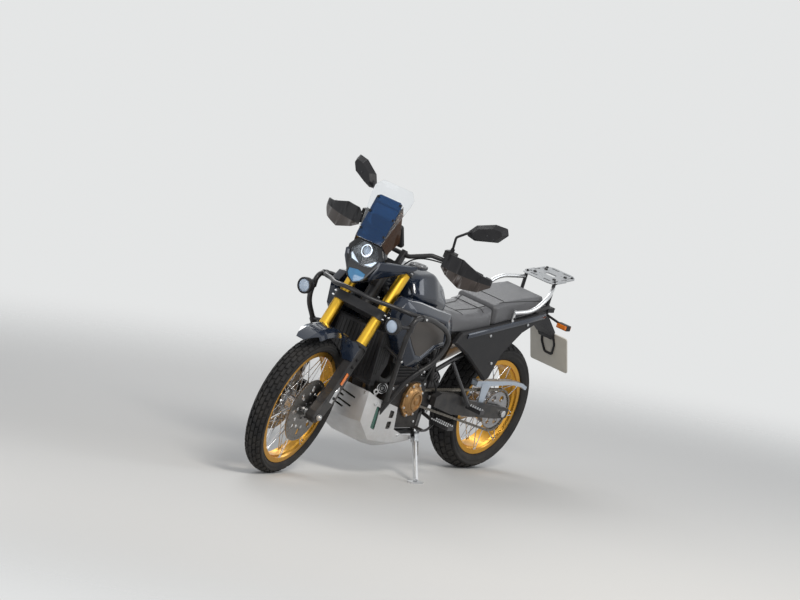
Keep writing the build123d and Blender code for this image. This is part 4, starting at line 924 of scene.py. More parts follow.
def makeLouvres():
    made = []
    for k in range(louvres["count"] + 1):
        y = louvres["pitch"] * (k - louvres["count"] / 2)
        made.append(prism(louvres["line"], y - louvres["thick"] / 2, y + louvres["thick"] / 2, "y"))
        soften(2.2, 2)
    for z, x in ((502, 1195.5), (742, 1176)):
        made.append(skin([[(x - 10, y, z - 5), (x + 12, y, z - 5), (x + 10, y, z + 6), (x - 10, y, z + 6)] for y in (-142, 142)]))
        soften(2, 2)
    joinAll(made)
    settle("radiatorLouvres", "satinBlack")
    # the cheek slots are not cut: thin flat near-black plates paint the shade inside them
    slots = []
    for x, low, high in louvres["cheek"]:
        for side in (1, -1):
            outline = [(x, low), (x + 9, low), (x + 9, high), (x, high)]
            slots.append(prism(outline, side * 162.6, side * 163.6, "y"))
    joinAll(slots)
    settle("cheekSlotShade", "deepBlack")


makeLouvres()
print("radiator")

# Engine covers: lobed rims round stepped domes, a ring of bolts on each
covers = {
    # name: x, z, radius, side, bosses, finish, width and height shares
    "clutchCover": (817, 415, 84, 1, 8, "bronzeCover", 0.88, 1.06),
    "alternatorCover": (800, 395, 98, -1, 9, "engineCast", 1, 1),
}


def makeCovers():
    spots = []
    for name, (x, z, radius, side, bosses, finish, wide, tall) in covers.items():
        share = radius / 84
        out = (0, side, 0)
        made = [
            knob([(radius - 6, 0), (radius - 6, 13), (radius - 9, 15), (radius - 20, 16), (radius - 24, 24),
                  (radius - 34, 32), (52 * share, 34), (45 * share, 36), (43 * share, 43), (35 * share, 44),
                  (33 * share, 38), (17 * share, 38), (15 * share, 43), (13 * share, 44), (0.5, 44)],
                 (x, side * 138.3, z), out, 64)
        ]
        for k in range(bosses):
            turn = 2 * pi * k / bosses + 0.3
            place = (x + (radius - 10) * cos(turn), side * 138.3, z + (radius - 10) * sin(turn))
            made.append(knob([(10, 0), (10, 16), (8.5, 18), (0.5, 18)], place, out, 20))
            seat = Vector((x + (place[0] - x) * wide, place[1], z + (place[2] - z) * tall))
            spots.append((tuple(seat + Vector(out) * 19.5), out))
        for k in range(5):
            turn = radians(200 + 28 * k)
            inner = Vector((x, side * 166, z)) + Vector((cos(turn), 0, sin(turn))) * 48 * share
            outer = Vector((x, side * 155, z)) + Vector((cos(turn), 0, sin(turn))) * (radius - 20)
            made.append(bar([inner, outer], 3))
        joinAll(made)
        centre = Matrix.Translation(spot(x, 0, z))
        bpy.context.object.data.transform(centre @ Matrix.Diagonal((wide, 1, tall, 1)) @ centre.inverted())
        settle(name, finish, angle=40, instead=("engine_covers",))
    bolts("coverBolts", "brightAlloy", spots, 6)


makeCovers()
print("engine covers")

# Fuel tank: a crowned shell over the frame, with its filler cap
tank = {
    # x, low z, low half, mid z, mid half, top z, top half
    "sections": [
        (700, 800, 70, 842, 92, 872, 60),
        (760, 792, 104, 890, 142, 966, 92),
        (880, 800, 120, 920, 160, 1033, 112),
        (1004, 850, 120, 930, 160, 1023, 108),
        (1050, 900, 112, 940, 146, 984, 92),
    ],
    "crown": 3,
    "edge": 20,
    "capPlace": (880, 0, 1036),
}


def makeTank():
    rows = []
    for x, low, lowHalf, mid, midHalf, top, topHalf in tank["sections"]:
        rows.append([
            (x, -lowHalf, low), (x, lowHalf, low), (x, midHalf, mid), (x, topHalf, top),
            (x, 0, top + tank["crown"]), (x, -topHalf, top), (x, -midHalf, mid),
        ])
    skin(rows)
    soften(tank["edge"], 5, 12)
    settle("tankCover", "tankBlue", angle=60, instead=("fuel_tank",))
    x, y, z = tank["capPlace"]
    knob([(46, -6), (46, 3), (43, 6), (33, 6), (32, 4), (30, 4), (29, 7), (8, 7.5), (7.5, 6), (0.5, 6)], (x, y, z), (0.02, 0, 1), 48)
    settle("fillerCap", "darkAlloy")
    ring = [((x + 37 * cos(k * pi / 3), 37 * sin(k * pi / 3), z + 6.5), (0, 0, 1)) for k in range(6)]
    bolts("fillerBolts", "brightAlloy", ring, 4)


makeTank()
print("tank")

# Side panels: a grey-brown field inside a gloss surround, edged in white along the top
sidePanel = {
    "outline": [(1242, 900), (1200, 945), (1085, 932), (800, 872), (768, 830), (735, 715), (850, 690),
                (990, 592), (1060, 604), (1150, 690), (1222, 770)],
    "centre": (1010, 780),
    "steps": [(163.6, 1.0), (214, 0.96), (243, 0.70)],
    "edge": 9,
    "field": 0.50,
    "fieldDepth": 5,
    "topLine": [(1222, 905, 196), (1190, 936, 205), (1085, 926, 210), (930, 893, 212), (815, 869, 208)],
    "vents": [(1120, 700), (1146, 726), (1170, 752)],
}


def shrunk(share, y):
    cx, cz = sidePanel["centre"]
    return [(cx + (x - cx) * share, y, cz + (z - cz) * share) for x, z in sidePanel["outline"]]


def makeSidePanels():
    shells, fields, lines, slots = [], [], [], []
    last = sidePanel["steps"][-1]
    for side in (1, -1):
        rows = [shrunk(share, side * y) for y, share in sidePanel["steps"]]
        inner = [shrunk(0.62, side * last[0]), shrunk(0.60, side * (last[0] - sidePanel["fieldDepth"]))]
        skin(rows + inner)
        soften(sidePanel["edge"], 4, 14)
        shells.append(bpy.context.object)
        skin([shrunk(0.59, side * (last[0] - 4.4)), shrunk(0.585, side * (last[0] - 2.6))])
        soften(1.2, 2)
        fields.append(bpy.context.object)
        line = [spot(x, side * (y + 2), z) for x, z, y in sidePanel["topLine"]]
        top = [tuple(p * 1000 + Vector((0, side * 1.5, 3.5))) for p in line]
        low = [tuple(p * 1000 + Vector((0, side * 3.5, -3.5))) for p in line]
        back = [tuple(p * 1000 - Vector((0, side * 7, 0))) for p in line]
        skin([list(ring) for ring in zip(top, low, back)])
        lines.append(bpy.context.object)
    joinAll(shells)
    settle("panelShells", "tankBlue", angle=50, instead=("side_panels",))
    joinAll(fields)
    settle("panelFields", "panelGrey")
    joinAll(lines)
    settle("panelEdgeLines", "edgeWhite")
    spots = []
    for x, z in ((1180, 880), (1110, 645), (790, 735), (812, 842)):
        for side in (1, -1):
            cx, cz = sidePanel["centre"]
            spots.append(((x, side * 219, z), (0.1 * (x - cx) / 100, side, 0.1 * (z - cz) / 100)))
    bolts("panelBolts", "satinBlack", spots, 7)


makeSidePanels()
print("side panels")

# Front mask: lenses behind their recesses, a projector, two day lights and the round fog lamps
mask = {
    "foot": (1372, 968),
    "rake": 0.24,
    "back": 1292,
    "shell": [(0, 943), (50, 970), (100, 1062), (106, 1103), (74, 1150)],
    "upperLens": [(0, 1034), (24, 1034), (64, 1044), (80, 1070), (82, 1092), (44, 1142)],
    "lowerLens": [(0, 951), (34, 967), (50, 985), (50, 1006), (0, 1014)],
    "dayLight": [(14, 1040), (60, 1047), (74, 1068), (74, 1078)],
    "projector": 1106,
    "fog": (1312, 270, 831),
    "fogRadius": 39,
}
maskOut = Vector((1, 0, mask["rake"])).normalized()


def onMask(y, z, out):
    x = mask["foot"][0] - mask["rake"] * (z - mask["foot"][1])
    return tuple(Vector((x, y, z)) + maskOut * out)


def mirroredHalf(points):
    return points + [(-y, z) for y, z in reversed(points) if y]


def inward(points, share):
    cy = sum(y for y, z in points) / len(points)
    cz = sum(z for y, z in points) / len(points)
    return [(cy + (y - cy) * share, cz + (z - cz) * share) for y, z in points]


def maskPlate(points, low, high):
    return skin([[onMask(y, z, low) for y, z in points], [onMask(y, z, high) for y, z in points]])


def makeMaskShell():
    shell = mirroredHalf(mask["shell"])
    back = [(mask["back"], y * 0.92, z) for y, z in shell]
    made = skin([back, [onMask(y, z, 0) for y, z in shell]])
    soften(5, 3)
    cutters = [maskPlate(mirroredHalf(mask["upperLens"]), -14, 30), maskPlate(mirroredHalf(mask["lowerLens"]), -6, 20)]
    cutBy(made, cutters)
    bpy.context.view_layer.objects.active = made
    settle("maskShell", "glossBlack", angle=30, instead=("front_lamps",))
    knob([(31, -14.5), (31, -4)], onMask(0, mask["projector"], 0), maskOut, 40)
    settle("projectorBarrel", "satinBlack")
    x, y, z = mask["fog"]
    cans, stays = [], []
    for side in (1, -1):
        cans.append(knob([(0.5, -4), (16, -4), (20, 0), (30, 4), (38, 12), (39, 20), (39, 33), (33, 34)], (x, side * y, z), (1, 0, 0), 40))
        stays.append(bar([(1238, side * 298, z + 2), (x - 2, side * y, z)], 9))
        stays.append(bar([(1236, side * 299, z - 14), (1236, side * 299, z + 18)], 15.5))
    joinAll(cans)
    settle("fogHousings", "mouldedBlack", angle=50, instead=("front_lamps",))
    joinAll(stays)
    settle("fogStays", "framePaint", instead=("crash_bars",))


def makeMask():
    makeMaskShell()
    maskPlate(inward(mirroredHalf(mask["upperLens"]), 0.985), -2.6, -0.8)
    soften(0.6, 2)
    settle("maskGlass", "lampLens")
    maskPlate(inward(mirroredHalf(mask["lowerLens"]), 0.97), -5.8, -1.5)
    soften(2, 3)
    settle("lowerLens", "blueLens")
    made = []
    for side in (1, -1):
        points = [(side * y, z) for y, z in inward(mask["dayLight"], 0.9)]
        made.append(maskPlate(points, -14.5, -3.4))
    joinAll(made)
    soften(0.7, 2)
    settle("dayLights", "dayGlow")
    place = onMask(0, mask["projector"], -4)
    knob([(31, 0), (31, 0.8), (29.5, 1.2), (25.5, 1.2), (24, -1), (24, -3), (20, -6)], place, maskOut, 48)
    settle("projectorRing", "chromeSilver")
    knob([(24, -4), (22, -0.6), (17, 0.6), (9, 1.0), (0.5, 1.1)], place, maskOut, 48)
    settle("projectorDome", "projectorGlass", angle=60)
    x, y, z = mask["fog"]
    rims, domes = [], []
    for side in (1, -1):
        centre = (x + 40, side * y, z)
        domes.append(knob([(31, -5), (30, -1), (22, 1.4), (11, 2.6), (0.5, 3)], centre, (1, 0, 0), 40))
        rims.append(knob([(31.8, -5.6), (31.8, 1.2), (33.5, 2.4), (38, 1.6), (39.8, -1.5), (39.8, -8), (38.6, -9)], centre, (1, 0, 0), 40))
    joinAll(domes)
    settle("fogLenses", "fogGlass", angle=60)
    joinAll(rims)
    settle("fogRims", "satinBlack")


makeMask()
print("front mask")

# Windscreen: a blue panel and a clear shield behind it on the raked plane, with two brown side wings
screen = {
    "foot": (1352, 0, 1150),
    "up": (-78, 0, 205),
    "shield": [(0, 4), (78, 4), (88, 90), (116, 224), (118, 262), (88, 298), (0, 298)],
    "panel": [(0, 6), (70, 6), (76, 30), (77, 160), (74, 220), (60, 228), (0, 228)],
    "bolts": [(70, 48), (70, 138), (67, 214)],
    "wing": [(1346.5, 78, 1156), (1271, 79, 1352), (1236, 96, 1180), (1316, 99, 1118)],
}
screenUp = Vector(screen["up"]).normalized()
screenOut = Vector((0, 1, 0)).cross(screenUp)


def onScreen(y, up, out):
    return tuple(Vector(screen["foot"]) + Vector((0, y, 0)) + screenUp * up + screenOut * out)


def makeScreen():
    def plate(half, low, high, bow=5):
        points = mirroredHalf(half)
        rows = []
        for out in (low, high):
            rows.append([onScreen(y, up, out) for y, up in points])
        return skin(rows)

    plate(screen["shield"], -4, -1.6)
    soften(1, 2)
    settle("clearShield", "clearScreen", instead=("windscreen",))
    plate(screen["panel"], -1.2, 1.6)
    soften(1.2, 3)
    settle("bluePanel", "screenTint")
    spots = [(onScreen(side * y, up, 2.6), screenOut) for y, up in screen["bolts"] for side in (1, -1)]
    bolts("screenBolts", "satinBlack", spots, 6.5)
    made = []
    for side in (1, -1):
        corners = [Vector((x, side * y, z)) for x, y, z in screen["wing"]]
        face = (corners[1] - corners[0]).cross(corners[3] - corners[0])
        made.append(sheetOf([tuple(c - face.normalized() * 1.4) for c in corners], face, 2.8))
        soften(1, 2)
    joinAll(made)
    settle("screenWings", "brownScreen")


makeScreen()
print("screen")

# Dash: a bracket from the steering head, two screen stays with cross bars, and a tall display
dash = {
    "bracket": [(1236, 960), (1291.4, 960), (1291.4, 1150.6), (1334, 1150.6), (1332, 1182), (1262, 1182), (1240, 1120)],
    "half": 22,
    "stay": 6,
    "behind": -10.4,
    "display": (1214, 0, 1204),
    "displayTurn": -62,
    "displaySize": (118, 176, 22),
}


def makeDash():
    prism(dash["bracket"], -dash["half"], dash["half"], "y")
    soften(3, 3)
    made = [bpy.context.object]
    corners = []
    for along in (-36, 48):
        corners.append([onFork(along, y, 705 + rise) for y, rise in ((-20, -25), (20, -25), (20, 25), (-20, 25))])
    made.append(skin(corners))
    soften(3, 3)
    for side in (1, -1):
        feet = [onScreen(side * 72, up, dash["behind"]) for up in (14, 205)]
        made.append(bar(feet, dash["stay"]))
        made.append(bar([onScreen(side * 40, 70, dash["behind"]), (1226, side * 40, 1206)], 4))
    for up in (22, 70, 190):
        made.append(bar([onScreen(side * 72, up, dash["behind"]) for side in (1, -1)], 5))
    joinAll(made)
    settle("dashFrame", "satinBlack", instead=("dash",))
    turn = Matrix.Translation(spot(*dash["display"])) @ Matrix.Rotation(radians(dash["displayTurn"]), 4, "Y")
    long, wide, deep = dash["displaySize"]
    case = roundedBox(long, wide, 12)
    skin([[(x, y, -deep / 2) for x, y in inward(case, 0.86)], [(x, y, -4) for x, y in case], [(x, y, deep / 2) for x, y in case]])
    soften(2, 3)
    bpy.context.object.data.transform(turn)
    settle("displayCase", "mouldedBlack", instead=("dash",))
    glass = roundedBox(long - 12, wide - 14, 8)
    skin([[(x, y, deep / 2 - 1) for x, y in glass], [(x, y, deep / 2 + 1.2) for x, y in glass]])
    soften(0.8, 2)
    bpy.context.object.data.transform(turn)
    settle("displayFace", "displayGlass")


makeDash()

# Nose wings: slim gloss blades from the mask back past the fork
wing = [
    (1350, [(60, 1000), (62, 974), (104, 1044), (110, 1084), (84, 1084)]),
    (1240, [(116, 1060), (125, 1022), (136, 1050), (139, 1086), (120, 1086)]),
    (1136, [(155, 1078), (164, 1066), (171, 1074), (171, 1088), (158, 1088)]),
]


def makeWings():
    made = []
    for side in (1, -1):
        made.append(skin([[(x, side * y, z) for y, z in ring] for x, ring in wing]))
        soften(5, 4, 14)
    joinAll(made)
    settle("noseWings", "tankBlue", angle=50, instead=("nose_panels",))


makeWings()

# Crash bars: a loop on each side, joined round the nose, with clamps
crash = {
    "loop": [(1040, 118, 300), (1004, 210, 540), (891, 262, 655), (846, 272, 755), (930, 292, 822), (1101, 308, 880),
             (1226, 300, 886), (1250, 298, 760), (1150, 232, 560), (1040, 160, 420)],
    "nose": [(1150, 304, 882), (1228, 262, 892), (1262, 196, 898), (1344, 110, 905), (1376, 40, 918)],
    "radius": 12.5,
    "noseRadius": 11,
}


def makeCrashBars():
    made = []
    for side in (1, -1):
        made.append(bar([(x, side * y, z) for x, y, z in crash["loop"]], crash["radius"], 52))
        made.append(bar([(1186, side * 155, 690), (1208, side * 268, 668)], 9))
        made.append(bar([(1040, side * 128, 330), (1040, side * 158, 420)], 9))
    nose = crash["nose"] + [(x, -y, z) for x, y, z in reversed(crash["nose"])]
    made.append(bar(nose, crash["noseRadius"], 46))
    joinAll(made)
    settle("crashTubes", "framePaint", angle=50, instead=("crash_bars",))
    collars, spots = [], []
    for side in (1, -1):
        for a, b in (((1004, 210, 540), (891, 262, 655)), ((1250, 298, 760), (1150, 232, 560)), ((1101, 308, 880), (1226, 300, 886))):
            low, high = Vector(a), Vector(b)
            middle = low.lerp(high, 0.5)
            along = (high - low).normalized() * 15
            near, far = middle - along, middle + along
            near.y, far.y = near.y * side, far.y * side
            collars.append(bar([near, far], crash["radius"] + 3.5))
            soften(1.5, 2)
            middle.y = middle.y * side
            spots.append((tuple(middle + Vector((0, side * (crash["radius"] + 5), 0))), (0, side, 0)))
    joinAll(collars)
    settle("crashClamps", "framePaint", angle=40)
    bolts("crashBolts", "brightAlloy", spots, 6)


makeCrashBars()
print("nose, dash and crash bars")

# Rear rack: a slotted plate on posts between two grab rails
rack = {
    "outline": [(-150, 70), (-160, 92), (-184, 92), (-190, 104), (-262, 104), (-268, 96), (-338, 96), (-356, 84), (-376, 60)],
    "slots": [(70, 80, 46, 12), (-62, 78, 50, 12), (0, 84, 44, 12), (86, 40, 14, 44), (-88, 34, 14, 48)],
    "centre": (-265, 0, 1002),
    "tip": 0.13,
    "thick": 6,
    "holes": 55,
    "grab": [(170, 140, 856), (40, 160, 872), (-60, 158, 944), (-186, 88, 966)],
}


def makeRack():
    cx, cy, cz = rack["centre"]
    outline = [(x - cx, y) for x, y in rack["outline"]]
    outline = outline + [(x, -y) for x, y in reversed(outline)]
    plate = prism(outline, 0, rack["thick"], "z")
    soften(1.6, 3)
    cutters = []
    for x, y, long, wide in rack["slots"]:
        for side in (1, -1):
            cutters.append(prism([(x + u, side * y + v) for u, v in roundedBox(long, wide, min(long, wide) / 2 - 0.5)], -10, 20, "z"))
    cutters.append(prism(roundedBox(38, 60, 10), -10, 20, "z"))
    for k in range(4):
        turn = radians(45 + 90 * k)
        hx, hy = rack["holes"] * cos(turn), rack["holes"] * sin(turn)
        cutters.append(prism([(hx + u, hy + v) for u, v in roundedBox(6.6, 6.6, 3.2)], -10, 20, "z"))
    plate = cutBy(plate, cutters)
    bpy.context.view_layer.objects.active = plate
    lift = Vector((rack["tip"], 0, 1)).normalized()
    level = Vector((1, 0, -rack["tip"])).normalized()
    frameOf = Matrix((level, Vector((0, 1, 0)), lift)).transposed().to_4x4()
    plate.data.transform(Matrix.Translation(spot(cx, cy, cz)) @ frameOf)
    settle("rackPlate", "rackSilver", angle=30, instead=("rear_rack",))
    rails, posts, rubbers, spots = [], [], [], []
    for side in (1, -1):
        rails.append(bar([(x, side * y, z) for x, y, z in rack["grab"]], 10, 60))
        rails.append(bar([(164, side * 140, 870), (164, side * 140, 800)], 8))
        posts.append(bar([(-186, side * 86, 872), (-186, side * 86, 992)], 9))
        posts.append(bar([(-186, side * 86, 990), (-186, side * 86, 994)], 14))
        spots.append(((-186, side * 86, 999.5), (0.13, 0, 1)))
        spots.append(((-340, side * 78, 1018.5), (0.13, 0, 1)))
        spots.append(((164, side * 149, 828), (0, side, 0)))
        for x in (-214, -306):
            rubbers.append(knob([(9, 0), (9, 4), (7, 6), (0.5, 6)], (x, side * 60, 1002 + 5.5 - (x + 265) * 0.13), (0.13, 0, 1), 20))
    joinAll(rails)
    settle("grabRails", "brightAlloy", angle=50, instead=("rear_rack",))
    joinAll(posts)
    settle("rackPosts", "framePaint", angle=40, instead=("rear_rack",))
    joinAll(rubbers)
    settle("rackRubbers", "gripRubber")
    bolts("rackBolts", "satinBlack", spots, 6.5)


makeRack()
print("rack")

# Seat: two stuffed pads made from the seat's own solids, with welts over them
pads = {
    "voxel": 0.006,
    "pressure": 4.0,
    "frames": 20,
    "cap": 0.009,
    "still": 0.800,
    "free": 0.850,
    "fill": 0.85,
    "welt": 1.9,
    "runs": [("ridersPad", -1, (540, 330)), ("pillionPad", 1, (268, -66))],
    "cross": [("ridersPad", 540), ("ridersPad", 372), ("pillionPad", 226)],
}


def ownCopy(node, body="chassis"):
    # a merged copy of a solid, brought back to the bike's own frame
    shape = bpy.data.objects.new(node, nodes[node].data.copy())
    bpy.context.collection.objects.link(shape)
    shape.data.materials.clear()
    shape.data.transform(toRow(body).inverted() @ nodes[node].matrix_world)
    clearSelection()
    bpy.context.view_layer.objects.active = shape
    shape.select_set(True)
    bpy.ops.object.mode_set(mode="EDIT")
    bpy.ops.mesh.select_all(action="SELECT")
    bpy.ops.mesh.remove_doubles(threshold=0.00002)
    bpy.ops.object.mode_set(mode="OBJECT")
    return shape


def stuff(pad):
    clearSelection()
    bpy.context.view_layer.objects.active = pad
    pad.select_set(True)
    mesh = pad.modifiers.new("even", "REMESH")
    mesh.mode = "VOXEL"
    mesh.voxel_size = pads["voxel"]
    bpy.ops.object.modifier_apply(modifier=mesh.name)
    rest = [v.co.copy() for v in pad.data.vertices]
    cloth = pad.modifiers.new("stuffing", "CLOTH")
    cloth.settings.use_pressure = True
    cloth.settings.uniform_pressure_force = pads["pressure"]
    cloth.settings.effector_weights.gravity = 0
    for frameNumber in range(1, pads["frames"] + 1):
        bpy.context.scene.frame_set(frameNumber)
    bpy.ops.object.modifier_apply(modifier=cloth.name)
    bpy.context.scene.frame_set(1)
    for vertex, old in zip(pad.data.vertices, rest):
        share = min(max((old.z - pads["still"]) / (pads["free"] - pads["still"]), 0), 1)
        move = vertex.co - old
        if move.length > pads["cap"]:
            move = move.normalized() * pads["cap"]
        vertex.co = old + move * share
    divide(1)


def overPad(pad, start, aim):
    # where a line from a place meets a pad
    start, aim = spot(*start), Vector(aim).normalized()
    found, place, normal, face = pad.ray_cast(start, aim)
    return (place + normal * 0.0004) * 1000 if found else None


def makeSeat():
    shape = ownCopy("seat")
    bpy.ops.object.mode_set(mode="EDIT")
    bpy.ops.mesh.separate(type="LOOSE")
    bpy.ops.object.mode_set(mode="OBJECT")
    found = sorted(bpy.context.selected_objects, key=lambda piece: -max(v.co.x for v in piece.data.vertices))
    named = dict(zip(("ridersPad", "pillionPad"), (found[0], found[-1])))
    for pad in named.values():
        stuff(pad)
    bpy.context.view_layer.update()
    welts = []
    for name, step, (start, end) in pads["runs"]:
        for side in (1, -1):
            low, high = sorted((start, end))
            line = [overPad(named[name], (x, side * 190, 980), (0, -side, -1)) for x in range(low, high + 1, 8)]
            line = [point for point in line if point]
            if len(line) > 2:
                welts.append(bar(line, pads["welt"], 1))
    for name, x in pads["cross"]:
        line = [overPad(named[name], (x, y, 1000), (0, 0, -1)) for y in range(-100, 101, 8)]
        line = [point for point in line if point]
        if len(line) > 2:
            welts.append(bar(line, pads["welt"], 1))
    for name, pad in named.items():
        clearSelection()
        bpy.context.view_layer.objects.active = pad
        pad.select_set(True)
        settle(name, "seatVinyl", angle=60, instead=("seat",))
    joinAll(welts)
    settle("seatWelts", "gripRubber")


makeSeat()
print("seat")

# Front wheel and fork: nipples, disc buttons, seal collars, reflectors, brake lines
wheelTrim = {
    # name: body, axle (x, z), nipple radius, rim half
    "frontNipples": ("front_wheel", (1550, 345), 262.0, 29),
    "rearNipples": ("rear_wheel", (0, 333), 225.0, 52),
}


def makeNipples(name, body, axle, reach, half):
    made = []
    for k in range(9):
        for side in (1, -1):
            for lead in (1, -1):
                turn = radians(40 * (k + 0.25 * side) + 38 * lead)
                out = Vector((cos(turn), 0, -sin(turn)))
                place = Vector((axle[0], side * half + lead * 1.5, axle[1])) + out * reach
                made.append(knob([(2.6, -9), (3.4, -7), (3.4, 5), (0.4, 5)], tuple(place), tuple(out), 8))
    joinAll(made)
    settle(name, "brightAlloy", body)


for name, numbers in wheelTrim.items():
    makeNipples(name, *numbers)
buttons, hubCaps = [], []
for side in (1, -1):
    for k in range(10):
        turn = radians(36 * k + 9)
        place = (1550 + 86 * cos(turn), side * 64, 345 + 86 * sin(turn))
        buttons.append(knob([(8, -4.2), (8, 4.2), (5, 5), (2.5, 5), (2.5, 4.4), (0.4, 4.4)], place, (0, side, 0), 18))
    for k in range(6):
        turn = radians(60 * k)
        hubCaps.append(((1550 + 41 * cos(turn), side * 68.6, 345 + 41 * sin(turn)), (0, side, 0)))
joinAll(buttons)
settle("discButtons", "brightAlloy", "front_wheel")
bolts("discBolts", "darkAlloy", hubCaps, 5, "front_wheel")
bolts("sprocketBolts", "brightAlloy", [((58 * cos(radians(60 * k)), 98.2, 333 + 58 * sin(radians(60 * k))), (0, 1, 0))
                                       for k in range(6)], 6, "rear_wheel")

forkTrim = {
    "collar": (-40, 107, 393),
    "reflector": [(-44, 190), (-20, 190), (-20, 252), (-44, 252)],
    "line": [(-100, 92, 150), (-84, 118, 230), (-66, 138, 330), (-78, 126, 450), (-66, 102, 530), (-60, 92, 552)],
    "lowerBolts": [(-36, 330), (-36, 290), (-40, 120)],
    "patch": [(-60, 96), (-24, 90), (-20, 150), (-34, 182), (-58, 168)],
}


def makeForkTrim():
    collars, reflectors, patches, clips, spots = [], [], [], [], []
    axis = tuple(Vector(onFork(0, 0, 100)) - Vector(onFork(0, 0, 0)))
    along, high, up = forkTrim["collar"]
    for side in (1, -1):
        place = onFork(along, side * high, up)
        collars.append(knob([(29.3, -4), (36, -4), (37, 0), (37, 8), (34, 12), (29.3, 13), (29.3, -4)], place, axis, 40))
        outline = [onFork(u, side * 134.4, v) for u, v in forkTrim["reflector"]]
        outer = [onFork(u, side * 138.4, v) for u, v in forkTrim["reflector"]]
        reflectors.append(skin([outline, outer]))
        soften(1.2, 2)
        inner = [onFork(u, side * 134.3, v) for u, v in forkTrim["patch"]]
        face = [onFork(u, side * 136.2, v) for u, v in forkTrim["patch"]]
        patches.append(skin([inner, face]))
        soften(0.9, 2)
        for u, v in forkTrim["lowerBolts"]:
            spots.append((onFork(u, side * 138.5, v), (0, side, 0)))
        for u, v in ((-78, 236), (-74, 420)):
            clips.append(bar([onFork(u - 4, side * 128, v), onFork(u + 22, side * 128, v)], 5))
    joinAll(collars)
    settle("sealCollars", "gripRubber", "steering", 50)
    joinAll(reflectors)
    settle("forkReflectors", "orangeReflector", "steering")
    joinAll(patches)
    settle("forkPatches", "chromeSilver", "steering")
    joinAll(clips)
    settle("lineClips", "satinBlack", "steering")
    bolts("forkBolts", "satinBlack", spots, 7, "steering")
    for side, name in ((1, "leftBrakeLine"), (-1, "rightBrakeLine")):
        hose([onFork(u, side * y, v) for u, y, v in forkTrim["line"]], 3.6, name, "gripRubber", "steering")
    bolts("axleCaps", "brightAlloy", [((1550, side * 148.5, 345), (0, side, 0)) for side in (1, -1)], 11, "steering")
    tubes, caps = [], []
    for side in (1, -1):
        foot = onFork(along, side * high, 393)
        ribs = [(27, h) for h in (0, 40, 90, 140, 200, 260, 320, 380, 440)]
        tubes.append(knob(ribs + [(24, 443), (0.4, 443)], foot, axis, 64))
        caps.append(knob([(23, 443), (23, 446), (17, 448), (15, 448), (15, 454), (0.4, 454)], foot, axis, 6))
    joinAll(tubes)
    settle("goldTubes", "goldTube", "steering", 40, ("fork_tubes",))
    joinAll(caps)
    settle("forkCaps", "darkAlloy", "steering")
    made = [bar([onFork(-40, 92, 600), onFork(-40, 92, 604)], 1)]
    for side in (1, -1):
        for v in (556, 578):
            made.append(knob([(4.5, 0), (4.5, 30), (0.4, 30)], onFork(-24, side * 147, v), (0, -side, 0), 12))
        made.append(knob([(4.5, 0), (4.5, 30), (0.4, 30)], onFork(-24, side * 147, 813), (0, -side, 0), 12))
    joinAll(made[1:])
    settle("yokeBolts", "brightAlloy", "steering")
    bpy.data.objects.remove(made[0])
    plate = []
    for side in (1, -1):
        outline = [(1392, 700), (1448, 722), (1408, 644), (1372, 612), (1346, 646)]
        plate.append(prism(outline, side * 62.2, side * 64.4, "y"))
        soften(0.9, 2)
    joinAll(plate)
    settle("guardPlates", "tankBlue", "steering")
    bolts("guardBolts", "satinBlack", [((x, side * 66, z), (0, side, 0)) for x, z in ((1410, 692), (1384, 650)) for side in (1, -1)],
          7, "steering")


makeForkTrim()
print("fork trim")

# Handguards in two colours, mirror glass, cup caps and grip ribs
barTrim = {
    "gripIn": (1018, 262, 1158),
    "gripOut": (980, 420, 1150),
    "split": 1140,
    "mirror": (985, 352, 1352),
    "along": (-0.30, 0.93, 0.22),
    "outward": (0.93, 0.30, 0.0),
    "glass": [(-92, -22), (-58, -38), (50, -29), (88, 8), (82, 35), (28, 44), (-58, 25), (-92, -6)],
}


def makeGuards():
    guard = ownCopy("handguards", "steering")
    upper = guard.copy()
    upper.data = guard.data.copy()
    bpy.context.collection.objects.link(upper)
    for shape, above, name, finish in ((guard, False, "guardSkirts", "guardBrown"), (upper, True, "guardShells", "mouldedBlack")):
        clearSelection()
        bpy.context.view_layer.objects.active = shape
        shape.select_set(True)
        bpy.ops.object.mode_set(mode="EDIT")
        bpy.ops.mesh.select_all(action="SELECT")
        bpy.ops.mesh.bisect(plane_co=spot(0, 0, barTrim["split"]), plane_no=(0, 0, 1), use_fill=True,
                            clear_inner=above, clear_outer=not above)
        bpy.ops.object.mode_set(mode="OBJECT")
        settle(name, finish, "steering", 40, ("handguards",))


def mirrorPlace(u, v, out, side):
    along, outward = Vector(barTrim["along"]).normalized(), Vector(barTrim["outward"]).normalized()
    place = Vector(barTrim["mirror"]) + along * u + outward.cross(along) * v + outward * out
    return place.x, side * place.y, place.z


def makeMirrors():
    glass = []
    for side in (1, -1):
        rows = [[mirrorPlace(u, v, out, side) for u, v in barTrim["glass"]] for out in (-8.6, -10.4)]
        glass.append(skin(rows))
        soften(0.7, 2)
    joinAll(glass)
    settle("mirrorGlass", "chromeSilver", "steering")
    spots = [(tuple(mirrorPlace(0, -4, 23, side)), (0.93, 0.3 * side, 0)) for side in (1, -1)]
    bolts("mirrorBadges", "darkAlloy", spots, 4, "steering")


